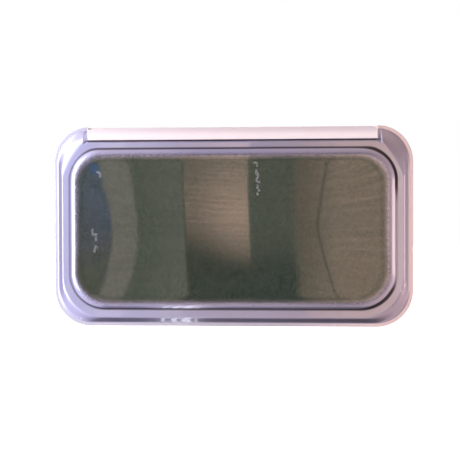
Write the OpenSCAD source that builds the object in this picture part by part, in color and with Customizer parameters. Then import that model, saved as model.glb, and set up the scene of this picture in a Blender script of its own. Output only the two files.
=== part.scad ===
// Top-hung caravan window: a vacuum-formed outer pane with a flat inner pane behind it,
// hung from a two-part hinge rail, with a hollow rubber seal, two telescopic stays and
// two turn catches on the inside. X runs along the hinge, Z up, and the outside faces -Y.
// The wall's face is the plane Y = 0 and the origin is the middle of the wall rail's back.

/* [Outer pane] */
// Overall width of the outer pane
pane_w = 900; // [700:1:1300]
// Overall height of the outer pane
pane_h = 500; // [420:1:800]
// Thickness of the formed skin
skin = 4; // [3:0.5:4.5]
// Distance from the wall to the rim's face
rim_front = 8; // [7:0.5:10]
// Width of the flat rim
rim_w = 8; // [5:0.5:12]
// Rounding of the rim's front edge
rim_round = 1; // [0.5:0.1:2]
// Vertical extent of the outer top corners
corner_r_z = 91; // [80:1:100]
// Radius of the outer bottom corners
bottom_r = 91; // [80:1:110]
// Width of the ogee step at the sides and the bottom
step_w = 15; // [10:0.5:20]
// Rise of the ogee step from the rim to the flange
step_rise = 10; // [6:0.5:14]
// Vertical extent of the flange's top corners
flange_r_z = 95; // [85:1:105]
// Radius of the flange's bottom corners
flange_bottom_r = 105; // [95:1:115]
// Width of the flat flange at the sides
flange_w = 17; // [12:0.5:24]
// Width of the flat flange at the bottom
flange_w_bottom = 21; // [14:0.5:26]
// Width of the flat flange below the pocket
flange_w_top = 16.5; // [12:0.5:24]
// Radius of the crease's top corners
crease_r_top = 78; // [70:1:90]
// Radius of the crease's bottom corners
crease_r_bottom = 90; // [75:1:100]
// Width of the pillow's rounded shoulder
pillow_w = 20; // [14:0.5:26]
// Rise of the pillow's shoulder above the flange
pillow_rise = 9.5; // [5:0.5:14]
// Width of the painted border between the shoulder and the clear field
border_w = 7; // [4:0.5:12]
// Rise of the clear field's crown above the shoulder
crown_rise = 3.5; // [1:0.5:8]

/* [Pocket of the hinge rail] */
// Height of the raised corners above the rail's top
ear_rise = 2; // [1:0.5:6]
// Gap between the rail's end and the pocket's end wall
pocket_end_gap = 2; // [1:0.5:4]
// Slope of the pocket's end wall, as its width in the front view
pocket_end_w = 10; // [6:0.5:14]
// Gap between the rail's bottom and the pocket's lower wall
pocket_foot_gap = 1.2; // [0.8:0.2:3]
// Slope of the pocket's lower wall, as its height in the front view
pocket_wall_w = 4.4; // [3:0.2:7]
// Width of the raised corners, from the side edge to the pocket's end wall
ear_w = 85.5; // [76:1:95]

/* [Inner pane] */
// Thickness of the flat inner pane
inner_t = 3; // [2:0.5:3]
// Distance from the flange's outer edge to the inner pane's edge
inner_inset = 5; // [4:0.5:7]
// Corner radius of the inner pane
inner_r = 100; // [98:1:110]
// Radius of the vent plugs' shafts
plug_r = 4; // [3:0.5:5]
// Radius of the vent plugs' heads
plug_head_r = 7; // [6:0.5:9]
// Thickness of the vent plugs' heads
plug_head_t = 1.6; // [1:0.2:2.5]
// Distance from the inner pane's side edge to a vent plug
plug_inset = 122; // [110:1:200]
// Depth of a vent plug below the inner pane's top edge
plug_drop = 26; // [24:0.5:30]

/* [Hinge rails] */
// Height of the rails
rail_h = 30.5; // [26:0.5:32]
// Depth of the sash rail in front of the pocket's floor
sash_d = 12; // [9:0.5:16]
// Wall of the sash rail
sash_wall = 1.5; // [1.2:0.1:2]
// Radius of the sash rail's convex face
sash_face_r = 52; // [40:1:90]
// Thickness of the wall rail's leaf
leaf_t = 2; // [1.5:0.1:2.2]
// Radius of the hinge bead
bead_r = 3; // [2.5:0.1:3.2]
// Wall of the knuckle that grips the bead
knuckle_wall = 1.5; // [1.2:0.1:1.6]
// Running clearance between the bead and the knuckle
hinge_gap = 0.2; // [0.1:0.05:0.3]
// Thickness of the arm that carries the bead
arm_t = 1.8; // [1.4:0.1:2.2]
// Distance of the knuckle's ends from the sash rail's ends
knuckle_inset = 10; // [9:0.5:20]
// Distance of the wall rail's ends from the sash rail's ends
leaf_inset = 14; // [12:1:30]
// Thickness of the sash rail's end caps
cap_t = 1.5; // [1:0.1:2.5]
// Length of the end caps' plugs inside the sash rail
cap_plug = 8; // [5:0.5:14]
// Clearance between a plug or screw and its hole
fit_gap = 0.15; // [0.1:0.05:0.3]
// Thickness of the gasket that closes the hinge slot
gasket_t = 1; // [0.8:0.1:1.2]
// Radius of the wall rail's screw holes
screw_hole_r = 2.1; // [1.6:0.1:2.6]
// Height of the wall rail's screw holes below its middle
screw_drop = 5; // [3:0.5:8]
// Distance of the end screw holes from the wall rail's ends
screw_end = 47; // [20:0.5:60]
// Number of pairs of screw holes
screw_pairs = 3; // [2:1:5]

/* [Seal] */
// Width of the seal's foot
seal_w = 10; // [8:0.5:11]
// Thickness of the seal's foot
seal_foot_t = 2; // [1.5:0.1:3]
// Wall of the seal's hollow bulb
seal_wall = 1.2; // [0.8:0.1:1.6]
// Distance from the inner pane's edge to the seal's middle
seal_inset = 11; // [8:0.5:14]
// Radius of the seal's corners, at its middle
seal_r = 85; // [60:1:89]

/* [Stays] */
// Distance from the seal's middle to a stay's middle
stay_inset = 18; // [16:0.5:24]
// Height of the lower pin above the seal's lower length
stay_lift = 98; // [94:1:150]
// Depth of the upper pin below the hinge
stay_high = 105; // [80:1:140]
// Outer radius of the stay's tube
tube_r = 5; // [4.5:0.1:6]
// Wall of the stay's tube
tube_wall = 1; // [0.8:0.1:1.4]
// Share of the stay's length that the tube covers
tube_share = 0.66; // [0.55:0.01:0.75]
// Radius of the stay's pins
pin_r = 2; // [1.5:0.1:2.5]
// Width of the eyes on the stay's ends
eye_w = 8; // [6:0.5:10]
// Thickness of the lugs beside an eye
lug_t = 2; // [1.5:0.1:3]
// Side clearance between an eye and its lugs
lug_gap = 0.3; // [0.2:0.1:0.6]
// Height of the stay's middle above the inner pane
stay_rise = 10; // [9:0.5:13]
// Length of the foot's plate
foot_l = 40; // [32:1:50]
// Width of the foot's plate
foot_w = 18; // [15:0.5:20]
// Thickness of the foot's plate
foot_t = 2.5; // [2:0.1:3.5]
// Radius of the friction collar
collar_r = 7.5; // [6.5:0.1:9]
// Length of the friction collar
collar_l = 16; // [12:0.5:22]
// Radius of the friction knob
knob_r = 8; // [6:0.5:10]
// Length of the friction knob
knob_l = 9; // [6:0.5:12]
// Number of grips round the knob
knob_grips = 10; // [6:1:14]
// Radius of the knob's grips
grip_r = 1.6; // [1:0.1:2]
// Distance from a stay's middle to the face its wall bracket is screwed to
bracket_reach = 12; // [10:0.5:16]
// Length of the wall bracket's plate
bracket_l = 40; // [34:1:50]
// Depth of the wall bracket's plate
bracket_d = 30; // [24:1:36]
// Thickness of the wall bracket
bracket_t = 2; // [1.5:0.1:3]
// Spacing of the wall bracket's screw holes
bracket_pitch = 26; // [20:1:30]
// Distance of the wall bracket's screw holes from its web
bracket_screw_d = 19.5; // [15:0.5:20]
// Thickness and overhang of the pins' heads
pin_head = 1; // [0.6:0.1:1.5]

/* [Catches] */
// Distance of a catch from the window's middle
catch_x = 240; // [150:1:290]
// Height of a catch's pivot above the pane's bottom edge
catch_z = 66; // [64:0.5:72]
// Length of a catch's base
catch_l = 62; // [50:1:80]
// Width of a catch's base
catch_w = 24; // [20:1:28]
// Thickness of a catch's base
catch_t = 6; // [4:0.5:8]
// Radius of the pivot's tower
tower_r = 9; // [7:0.5:11]
// Height of the tower above the base
tower_h = 14; // [10:0.5:20]
// Thickness of the tongue
tongue_t = 3; // [2:0.5:4]
// Reach of the tongue from its pivot
tongue_reach = 32; // [24:1:34]
// Width of the tongue
tongue_w = 14; // [10:0.5:18]
// Thickness of the handle
handle_t = 8; // [6:0.5:12]
// Length of the handle from its pivot to the middle of its tip
handle_l = 46; // [36:1:60]
// Radius of the handle's hub
hub_r = 12.5; // [11:0.5:14]
// Radius of the handle's tip
handle_tip_r = 8; // [6:0.5:10]
// Radius of the catch's push button
button_r = 6; // [4:0.5:8]
// Height of the button above the handle
button_h = 1.5; // [1:0.1:2.5]
// Depth of the button's seat in the handle
button_seat = 3; // [2:0.5:5]

/* [Hidden] */
$fn = 64;
eps = 0.01;

silver = "#b3a7bd";
tint = "#3c4a3e";
bright = "#f4eeee";
rubber = "#1d1d1f";
grey = "#3a3c40";
metal = "#b9bcc0";

half_w = pane_w / 2;
rail_top = rail_h / 2;
pane_top = rail_top + ear_rise;
pane_bottom = pane_top - pane_h;
flange_front = rim_front + step_rise;
inner_front = flange_front - skin;
inner_back = inner_front - inner_t;

// The pocket's outline: where its end wall and its lower wall start and end
pocket_foot_x = half_w - ear_w;
pocket_foot_z = -rail_top - pocket_foot_gap;
sash_half = pocket_foot_x - pocket_end_gap - cap_t;
// Smallest distance between two neighbouring lines of the pane
line_gap = 1;
// Height of the raised corners' step, which ends just above the pocket's lower wall
step_w_top = pane_top - rim_w - pocket_foot_z - line_gap;
knuckle_r = bead_r + hinge_gap + knuckle_wall;
// Gap between the knuckle and the gasket above it, and between it and the leaf behind it
knuckle_top_gap = 0.1;
knuckle_back_gap = 0.5;
bead_z = rail_top - gasket_t - knuckle_r - knuckle_top_gap;
bead_y = -(leaf_t + knuckle_back_gap + knuckle_r);
// The pane's top edge behind the rail stays clear of the knuckle, below and beside it
cut_gap = 1;
cut_z = bead_z - knuckle_r - cut_gap;
cut_x = sash_half - knuckle_inset + 2 * cut_gap;
cut_in = cut_z - rim_round - line_gap;

// Formed outer pane
// A line is a closed loop round the pane at one height in front of the wall:
// [half width, top, start of the top corner, height of the top corner, its exponent,
//  bottom, bottom radius, height in front of the wall, top inside the pocket,
//  height inside the pocket]
function mix(a, b, t) = a + (b - a) * t;
function ogee(t) = (1 - cos(180 * t)) / 2;

// Top edge of a line at the distance x from the middle
function line_z(l, x) =
    let(u = min(1, max(0, x - l[2]) / (l[0] - l[2])))
    l[1] - l[3] * (1 - pow(1 - pow(u, l[4]), 1 / l[4]));

// Point of the top corner at the angle a, which is 0 at the side
function corner_point(l, a) = [
    l[2] + (l[0] - l[2]) * pow(cos(a), 2 / l[4]),
    l[1] - l[3] + l[3] * pow(sin(a), 2 / l[4])
];

// Columns of the loop: along the top, round the top corner, down the side and back
top_steps = 4;
arc_steps = 8;
side_steps = 4;

// Right half of a loop, from the top middle to the bottom middle, as [x, z, height]
function half_loop(l, foot_x, lip_x) =
    let(
        k = l[0] < half_w - rim_w - step_w - flange_w ? l[0] / crease_half : 1,
        lip = lip_x * k,
        a0 = acos(pow((lip - l[2]) / (l[0] - l[2]), l[4] / 2)),
        low = l[5] + l[6],
        high = l[1] - l[3],
        run = l[0] - l[6]
    )
    concat(
        [for (i = [0:top_steps])
            let(x = cut_x * k * i / top_steps)
            l[8] == undef ? [x, line_z(l, x), l[7]] : [x, l[8], l[9]]],
        [l[8] == undef ? [foot_x * k, line_z(l, foot_x * k), l[7]] : [foot_x, l[1], l[9]]],
        [[lip, line_z(l, lip), l[7]]],
        [for (i = [1:arc_steps])
            let(p = corner_point(l, a0 * (1 - i / arc_steps))) [p[0], p[1], l[7]]],
        [for (i = [1:side_steps - 1]) [l[0], mix(high, low, i / side_steps), l[7]]],
        [for (i = [0:arc_steps])
            let(a = 90 * i / arc_steps) [run + l[6] * cos(a), low - l[6] * sin(a), l[7]]],
        [for (i = [top_steps - 1:-1:0]) [run * i / top_steps, l[5], l[7]]]
    );

function loop(l, foot_x, lip_x) =
    let(h = half_loop(l, foot_x, lip_x), n = len(h))
    concat(
        [for (p = h) [p[0], -p[2], p[1]]],
        [for (i = [n - 2:-1:1]) [-h[i][0], -h[i][2], h[i][1]]]
    );

// Lines of one face. The back face is the same form, behind the front by the skin.
crease_half = half_w - rim_w - step_w - flange_w;
// Shares of the skin by which the back's step and its pocket walls are moved in
step_shift = 0.4 * skin;
wall_shift = 0.75 * skin;
// Exponents of a round corner, of the flange's flatter one and of the ears' slope
round_exp = 2;
flange_exp = 1.2;
slope_exp = 1.5;
// Share of the way in by which the pillow's corners get smaller
corner_share = 0.6;
crease_top = pocket_foot_z - pocket_wall_w - flange_w_top;
crease_low = pane_bottom + rim_w + step_w + flange_w_bottom;
step_marks = [0.2, 0.4, 0.6, 0.8, 1];
wall_marks = [0, 0.25, 0.5, 0.75, 1];
pillow_marks = [20, 40, 60, 76, 90];
crown_marks = [1, 0.8, 0.55, 0.3];

function rim_line(s, h, cut) = [
    half_w - s, pane_top - s, pocket_foot_x, corner_r_z - s, round_exp,
    pane_bottom + s, bottom_r - s, h, cut, h
];

// The side is the share of the skin that lies between the front and this line: 0 or 1
function step_line(t, side) =
    let(
        in = step_shift * side,
        s = rim_w + step_w * t + in,
        drop = rim_w + step_w_top * pow(t, slope_exp) + in
    )
    [
        half_w - s, pane_top - drop, pocket_foot_x + wall_shift * side,
        mix(corner_r_z - rim_w, flange_r_z, t), mix(round_exp, flange_exp, t),
        pane_bottom + s, mix(bottom_r - rim_w, flange_bottom_r, t),
        rim_front - skin * side + step_rise * ogee(t),
        mix(cut_in - line_gap, pocket_foot_z + line_gap, t) - wall_shift * side * t,
        rim_front - skin * side
    ];

function pocket_line(t, side) =
    let(
        s = rim_w + step_w + step_shift * side + line_gap * (1 + t),
        z = pocket_foot_z - pocket_wall_w * t - wall_shift * side
    )
    [
        half_w - s, z, pocket_foot_x + wall_shift * side, flange_r_z, flange_exp,
        pane_bottom + s, flange_bottom_r, flange_front - skin * side,
        z, rim_front - skin * side + step_rise * ogee(t)
    ];

function pillow_line(s, r_cut, h) = [
    crease_half - s, crease_top - s, crease_half - crease_r_top + r_cut - s,
    crease_r_top - r_cut, round_exp, crease_low + s, crease_r_bottom - r_cut, h
];

function shoulder_line(a, side) =
    let(s = mix(skin * side, pillow_w, 1 - cos(a)))
    pillow_line(s, s * corner_share, flange_front - skin * side + pillow_rise * sin(a));

// Height of the clear field in front of the wall at the share q of the way to its edge
function crown_height(q, side) =
    flange_front - skin * side + pillow_rise + crown_rise * (1 - q * q);

crown_mid = (crease_top + crease_low) / 2;

function crown_line(q, side) =
    let(
        s = pillow_w + border_w,
        half = (crease_half - s) * q,
        r = (crease_r_top - corner_share * s) * q
    )
    [
        half, mix(crown_mid, crease_top - s, q), half - r, r, round_exp,
        mix(crown_mid, crease_low + s, q), (crease_r_bottom - corner_share * s) * q,
        crown_height(q, side)
    ];

function crown_point(side) = [0, -crown_height(0, side), crown_mid];

function face_lines(side) = concat(
    [for (t = step_marks) step_line(t, side)],
    [for (t = wall_marks) pocket_line(t, side)],
    [pillow_line(skin * side, 0, flange_front - skin * side)],
    [for (a = pillow_marks) shoulder_line(a, side)],
    [for (q = crown_marks) crown_line(q, side)]
);

function reversed(v) = [for (i = [len(v) - 1:-1:0]) v[i]];

// Closed skin through a list of loops with equal point counts, from one middle to another
module lofted(first, loops, last) {
    n = len(loops[0]);
    m = len(loops);
    faces = concat(
        [for (i = [0:n - 1]) [(i + 1) % n, i, m * n]],
        [for (j = [0:m - 2]) for (i = [0:n - 1])
            let(a = j * n + i, b = j * n + (i + 1) % n) each [[a, b, b + n], [a, b + n, a + n]]],
        [for (i = [0:n - 1]) [(m - 1) * n + i, (m - 1) * n + (i + 1) % n, m * n + 1]]
    );
    polyhedron(points = concat([for (l = loops) each l], [first, last]), faces = faces);
}

module outer_pane() {
    foot = pocket_foot_x;
    lip = foot + pocket_end_w;
    back = [for (l = face_lines(1)) loop(l, foot + wall_shift, lip + wall_shift)];
    rim = [
        loop(rim_line(rim_w, rim_front - skin, cut_in), foot, lip),
        loop(rim_line(0, rim_front - skin, cut_z), foot, lip),
        loop(rim_line(0, rim_front - rim_round, cut_z), foot, lip),
        loop(rim_line(rim_round, rim_front, cut_z - rim_round / 2), foot, lip),
        loop(rim_line(rim_w, rim_front, cut_in), foot, lip)
    ];
    front = [for (l = face_lines(0)) loop(l, foot, lip)];
    color(silver) lofted(crown_point(1), concat(reversed(back), rim, front), crown_point(0));
}

// Outline with round corners, drawn in the X-Z plane
module rounded_outline(hw, top, bottom, r) {
    translate([-hw, bottom + r]) square([2 * hw, top - bottom - 2 * r]);
    translate([r - hw, bottom]) square([2 * (hw - r), top - bottom]);
    for (x = [-1, 1]) {
        translate([x * (hw - r), top - r]) circle(r, $fn = 128);
        translate([x * (hw - r), bottom + r]) circle(r, $fn = 128);
    }
}

// Extrusion of an X-Z outline, its back at the height y0 in front of the wall
module upright(y0, t) {
    translate([0, -y0, 0]) rotate([90, 0, 0]) linear_extrude(t) children();
}

// Extrusion of a Y-Z section along X, from x0 over the length l
module along_x(x0, l) {
    translate([x0, 0, 0]) rotate([90, 0, 90]) linear_extrude(l) children();
}

inner_half = half_w - rim_w - step_w - inner_inset;
inner_top = pocket_foot_z - pocket_wall_w - inner_inset;
inner_low = pane_bottom + rim_w + step_w + inner_inset;
plug_x = inner_half - plug_inset;
plug_z = inner_top - plug_drop;

module inner_pane() {
    color(tint) upright(inner_back, inner_t) difference() {
        rounded_outline(inner_half, inner_top, inner_low, inner_r);
        for (x = [-plug_x, plug_x])
            translate([x, plug_z]) circle(plug_r + fit_gap);
    }
}

module vent_plug(side) {
    color(grey) translate([side * plug_x, 0, plug_z]) rotate([90, 0, 0]) {
        translate([0, 0, inner_back - plug_head_t]) cylinder(r = plug_head_r, h = plug_head_t);
        translate([0, 0, inner_back - eps]) cylinder(r = plug_r, h = inner_t + eps);
    }
}

// Hinge rails
leaf_half = sash_half - leaf_inset;
leaf_top = rail_top - gasket_t;
screw_half = leaf_half - screw_end;
sash_front = rim_front + sash_d;

// Round holes along the wall rail, evenly spaced in pairs about its middle
module screw_holes() {
    n = 2 * screw_pairs - 1;
    for (i = [0:n]) translate([mix(-screw_half, screw_half, i / n), eps, -screw_drop])
        rotate([90, 0, 0]) cylinder(r = screw_hole_r, h = leaf_t + 2 * eps);
}

module wall_rail() {
    color(metal) difference() {
        along_x(-leaf_half, 2 * leaf_half) {
            translate([-leaf_t, -rail_top]) square([leaf_t, rail_top + leaf_top]);
            translate([bead_y, bead_z - arm_t / 2]) square([-bead_y - leaf_t + eps, arm_t]);
            translate([bead_y, bead_z]) circle(bead_r);
        }
        screw_holes();
    }
}

// Outline of the sash rail: a box whose face is one large arc, with softened edges
module sash_outline(in) {
    intersection() {
        translate([-sash_front + in, -rail_top + in])
            square([sash_d - 2 * in, rail_h - 2 * in]);
        translate([-sash_front + sash_face_r, 0]) circle(sash_face_r - in, $fn = 256);
    }
}

module knuckle_section() {
    mouth = knuckle_r * 2;
    translate([bead_y, bead_z]) difference() {
        circle(knuckle_r);
        circle(bead_r + hinge_gap);
        polygon([[0, -arm_t], [mouth, -arm_t], [mouth, mouth], [hinge_gap, mouth]]);
    }
}

module sash_rail() {
    color(bright) {
        difference() {
            along_x(-sash_half, 2 * sash_half) sash_outline(0);
            along_x(-sash_half - eps, 2 * (sash_half + eps)) difference() {
                sash_outline(sash_wall);
                translate([bead_y, bead_z]) circle(knuckle_r);
            }
            along_x(-sash_half - eps, 2 * (sash_half + eps))
                translate([bead_y, bead_z]) circle(bead_r + hinge_gap);
        }
        along_x(-sash_half + knuckle_inset, 2 * (sash_half - knuckle_inset)) difference() {
            knuckle_section();
            translate([-sash_front, -rail_top]) square([sash_d, rail_h]);
        }
    }
}

module rail_cap(side) {
    inset = sash_wall + fit_gap;
    x0 = side > 0 ? sash_half : -sash_half - cap_t;
    plug_x0 = side > 0 ? sash_half - cap_plug : -sash_half;
    color(bright) {
        along_x(x0, cap_t) sash_outline(0);
        along_x(plug_x0 - (side > 0 ? 0 : eps), cap_plug + eps) intersection() {
            sash_outline(inset);
            translate([-sash_front, -rail_top])
                square([sash_d, bead_z + rail_top - knuckle_r - fit_gap]);
        }
    }
}

module rail_gasket() {
    color(rubber) along_x(-leaf_half, 2 * leaf_half)
        translate([-rim_front, leaf_top]) square([rim_front, gasket_t]);
}

// Seal between the inner pane and the wall
seal_half = inner_half - seal_inset;
seal_top_z = inner_top - seal_inset;
seal_low_z = inner_low + seal_inset;
bulb_r = (inner_back - seal_foot_t / 2) / 2;
seal_mid_z = (seal_top_z + seal_low_z) / 2;
seal_run_x = 2 * (seal_half - seal_r);
seal_run_z = seal_top_z - seal_low_z - 2 * seal_r;

// Section of the seal: across it, outwards, in the first axis and out from the wall
module seal_section() {
    difference() {
        union() {
            translate([-seal_w / 2, inner_back - seal_foot_t]) square([seal_w, seal_foot_t]);
            translate([0, bulb_r]) circle(bulb_r);
        }
        translate([0, bulb_r]) circle(bulb_r - seal_wall);
    }
}

// Straight length centred at [x, z], turned by the angle a from the top one's direction
module seal_length(c, a, l) {
    color(rubber) rotate([90, 0, 0]) translate([c[0], c[1], 0]) rotate([0, 0, a])
        translate([-l / 2, 0, 0]) rotate([90, 0, 90]) linear_extrude(l) seal_section();
}

module seal_corner(x, z) {
    cx = x * (seal_half - seal_r);
    cz = z > 0 ? seal_top_z - seal_r : seal_low_z + seal_r;
    start = z > 0 ? (x > 0 ? 0 : 90) : (x > 0 ? 270 : 180);
    color(rubber) translate([cx, 0, cz]) rotate([90, 0, 0]) rotate([0, 0, start])
        rotate_extrude(angle = 90) translate([seal_r, 0]) seal_section();
}

// Telescopic stays. The sections are drawn for the right side and mirrored for the left.
stay_x = seal_half - stay_inset;
stay_y = stay_rise - inner_back;
stay_low = -seal_low_z - stay_lift;
stay_l = stay_low - stay_high;
tube_l = stay_l * tube_share;
eye_r = tube_r;
eye_half = eye_w / 2;
// A flat neck joins the tube to its eye, clear of the lugs
neck_gap = 1;
tube_foot = eye_r + neck_gap;
neck_half = eye_r / 2;
// The collar's boss carries the knob, whose grips start above a plain edge
boss_rise = 1.5;
boss_r = collar_r - 1;
grip_out = 0.6;
knob_edge = 1.5;
// Gap between the wall bracket's web and the eye in front of it
web_gap = 0.5;

module on_side(side) {
    if (side > 0) children();
    else mirror([1, 0, 0]) children();
}

// Round bar along X, centred on the stay's middle at the depth d below the hinge
module cross_bar(r, l, d) {
    translate([stay_x - l / 2, stay_y, -d]) rotate([0, 90, 0]) cylinder(r = r, h = l);
}

// Round bar up along Z from the depth d
module upright_bar(r, l, d) {
    translate([stay_x, stay_y, -d]) cylinder(r = r, h = l);
}

module stay_foot(side) {
    lug_x = eye_half + lug_gap;
    color(grey) on_side(side) difference() {
        union() {
            translate([stay_x - foot_w / 2, -inner_back, -stay_low - foot_l / 2])
                cube([foot_w, foot_t, foot_l]);
            for (x = [-lug_x - lug_t, lug_x]) translate([stay_x + x, 0, -stay_low]) {
                translate([0, -inner_back, -eye_r]) cube([lug_t, stay_rise, 2 * eye_r]);
                translate([0, stay_y, 0]) rotate([0, 90, 0]) cylinder(r = eye_r, h = lug_t);
            }
        }
        cross_bar(pin_r + fit_gap, foot_w + eps, stay_low);
    }
}

module stay_tube(side) {
    color(metal) on_side(side) difference() {
        union() {
            cross_bar(eye_r, eye_w, stay_low);
            translate([stay_x - eye_half, stay_y - neck_half, -stay_low])
                cube([eye_w, 2 * neck_half, tube_foot + eps]);
            upright_bar(tube_r, tube_l - tube_foot, stay_low - tube_foot);
        }
        cross_bar(pin_r + fit_gap, foot_w, stay_low);
        upright_bar(tube_r - tube_wall, tube_l, stay_low - tube_foot - tube_wall);
    }
}

module stay_rod(side) {
    rod_r = tube_r - tube_wall - fit_gap;
    overlap_l = tube_l / 2;
    low = stay_low - tube_l + overlap_l;
    color(metal) on_side(side) difference() {
        union() {
            upright_bar(rod_r, low - stay_high, low);
            cross_bar(eye_r, eye_w, stay_high);
        }
        cross_bar(pin_r + fit_gap, foot_w, stay_high);
    }
}

module stay_collar(side) {
    low = stay_low - tube_l + collar_l / 2;
    color(grey) on_side(side) difference() {
        union() {
            upright_bar(collar_r, collar_l, low);
            translate([stay_x, stay_y, collar_l / 2 - low]) rotate([-90, 0, 0])
                cylinder(r = boss_r, h = collar_r + boss_rise);
        }
        upright_bar(tube_r + fit_gap, collar_l / 2 + eps, low + eps);
        upright_bar(tube_r - tube_wall, collar_l + eps, low);
    }
}

module stay_knob(side) {
    z = tube_l - stay_low;
    color(grey) on_side(side) translate([stay_x, stay_y + collar_r + boss_rise, z])
        rotate([-90, 0, 0]) difference() {
            cylinder(r = knob_r, h = knob_l);
            for (i = [0:knob_grips - 1]) rotate([0, 0, 360 * i / knob_grips])
                translate([knob_r + grip_out, 0, knob_edge])
                    cylinder(r = grip_r, h = knob_l, $fn = 24);
        }
}

module stay_pin(side, depth) {
    l = eye_w + 2 * (lug_gap + lug_t);
    color(metal) on_side(side) {
        cross_bar(pin_r, l, depth);
        for (x = [-l / 2 - pin_head, l / 2]) translate([stay_x + x, stay_y, -depth])
            rotate([0, 90, 0]) cylinder(r = pin_r + pin_head, h = pin_head);
    }
}

// Lugs beside the eye, a web behind it and a plate on the face of the wall's cut-out
module stay_wall_bracket(side) {
    lug_x = eye_half + lug_gap;
    web_y = stay_y + eye_r + web_gap;
    plate_x = stay_x + bracket_reach;
    screw_y = web_y + bracket_screw_d;
    color(metal) on_side(side) difference() {
        union() {
            for (x = [-lug_x - lug_t, lug_x]) translate([stay_x + x, 0, -stay_high]) {
                translate([0, stay_y, -eye_r]) cube([lug_t, web_y - stay_y + eps, 2 * eye_r]);
                translate([0, stay_y, 0]) rotate([0, 90, 0]) cylinder(r = eye_r, h = lug_t);
            }
            translate([stay_x - lug_x - lug_t, web_y, -stay_high - eye_r])
                cube([plate_x - stay_x + lug_x + lug_t, bracket_t, 2 * eye_r]);
            translate([plate_x - bracket_t, web_y, -stay_high - bracket_l / 2])
                cube([bracket_t, bracket_d, bracket_l]);
        }
        cross_bar(pin_r + fit_gap, foot_w + eps, stay_high);
        for (z = [-1, 1])
            translate([plate_x - bracket_t - eps, screw_y, -stay_high + z * bracket_pitch / 2])
                rotate([0, 90, 0]) cylinder(r = screw_hole_r, h = bracket_t + 2 * eps);
    }
}

// Catches, drawn about the pivot and moved to their places
base_y = -inner_back;
tower_y = base_y + catch_t + tower_h;
tongue_y = tower_y;
handle_y = tongue_y + tongue_t;

module at_catch(side, y) {
    translate([side * catch_x, y, pane_bottom + catch_z]) children();
}

// Extrusion of an X-Z outline towards the inside, from the local Y = 0
module inward(t) {
    rotate([90, 0, 0]) translate([0, 0, -t]) linear_extrude(t) children();
}

module catch_base(side) {
    end_r = catch_w / 2;
    color(grey) at_catch(side, base_y) {
        inward(catch_t) {
            square([catch_l - 2 * end_r, catch_w], center = true);
            for (x = [-1, 1]) translate([x * (catch_l / 2 - end_r), 0]) circle(end_r);
        }
        inward(catch_t + tower_h) circle(tower_r);
    }
}

module catch_tongue(side) {
    color(metal) at_catch(side, tongue_y) inward(tongue_t) {
        circle(tower_r);
        translate([-tongue_w / 2, -tongue_reach + tongue_w / 2])
            square([tongue_w, tongue_reach - tongue_w / 2]);
        translate([0, -tongue_reach + tongue_w / 2]) circle(tongue_w / 2);
    }
}

// Handle with a round hub, a tapered arm and a round tip, pointing to the window's middle
module catch_handle(side) {
    color(grey) at_catch(side, handle_y) rotate([0, side > 0 ? 180 : 0, 0]) difference() {
        inward(handle_t) {
            circle(hub_r);
            polygon([[0, -hub_r], [handle_l, -handle_tip_r], [handle_l, handle_tip_r], [0, hub_r]]);
            translate([handle_l, 0]) circle(handle_tip_r);
        }
        translate([0, handle_t - button_seat, 0]) inward(button_seat + eps)
            circle(button_r + fit_gap);
    }
}

module catch_button(side) {
    color(metal) at_catch(side, handle_y + handle_t - button_seat)
        inward(button_seat + button_h) circle(button_r);
}

outer_pane();
inner_pane();
vent_plug(-1);  // vent_plug_left
vent_plug(1);  // vent_plug_right
wall_rail();
sash_rail();
rail_cap(-1);  // rail_cap_left
rail_cap(1);  // rail_cap_right
rail_gasket();
seal_length([0, seal_top_z], 0, seal_run_x);  // seal_top
seal_length([0, seal_low_z], 180, seal_run_x);  // seal_bottom
seal_length([-seal_half, seal_mid_z], 90, seal_run_z);  // seal_left
seal_length([seal_half, seal_mid_z], 270, seal_run_z);  // seal_right
seal_corner(-1, 1);  // seal_corner_top_left
seal_corner(1, 1);  // seal_corner_top_right
seal_corner(-1, -1);  // seal_corner_bottom_left
seal_corner(1, -1);  // seal_corner_bottom_right
stay_foot(-1);  // stay_left_foot
stay_tube(-1);  // stay_left_tube
stay_rod(-1);  // stay_left_rod
stay_collar(-1);  // stay_left_collar
stay_knob(-1);  // stay_left_knob
stay_wall_bracket(-1);  // stay_left_wall_bracket
stay_pin(-1, stay_low);  // stay_left_lower_pin
stay_pin(-1, stay_high);  // stay_left_upper_pin
stay_foot(1);  // stay_right_foot
stay_tube(1);  // stay_right_tube
stay_rod(1);  // stay_right_rod
stay_collar(1);  // stay_right_collar
stay_knob(1);  // stay_right_knob
stay_wall_bracket(1);  // stay_right_wall_bracket
stay_pin(1, stay_low);  // stay_right_lower_pin
stay_pin(1, stay_high);  // stay_right_upper_pin
catch_base(-1);  // catch_left_base
catch_tongue(-1);  // catch_left_tongue
catch_handle(-1);  // catch_left_handle
catch_button(-1);  // catch_left_button
catch_base(1);  // catch_right_base
catch_tongue(1);  // catch_right_tongue
catch_handle(1);  // catch_right_handle
catch_button(1);  // catch_right_button
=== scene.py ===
"""Looks of a top-hung caravan window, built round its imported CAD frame.

X runs along the hinge, Z up, and the outside faces -Y. Sizes in the classes are in
millimetres, and shapes become metres only where a mesh is made.
"""

import logging
import math
from collections.abc import Callable
from dataclasses import dataclass, replace
from enum import Enum
from typing import NamedTuple

import bpy
import numpy as np
from mathutils import Matrix, Vector


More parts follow.
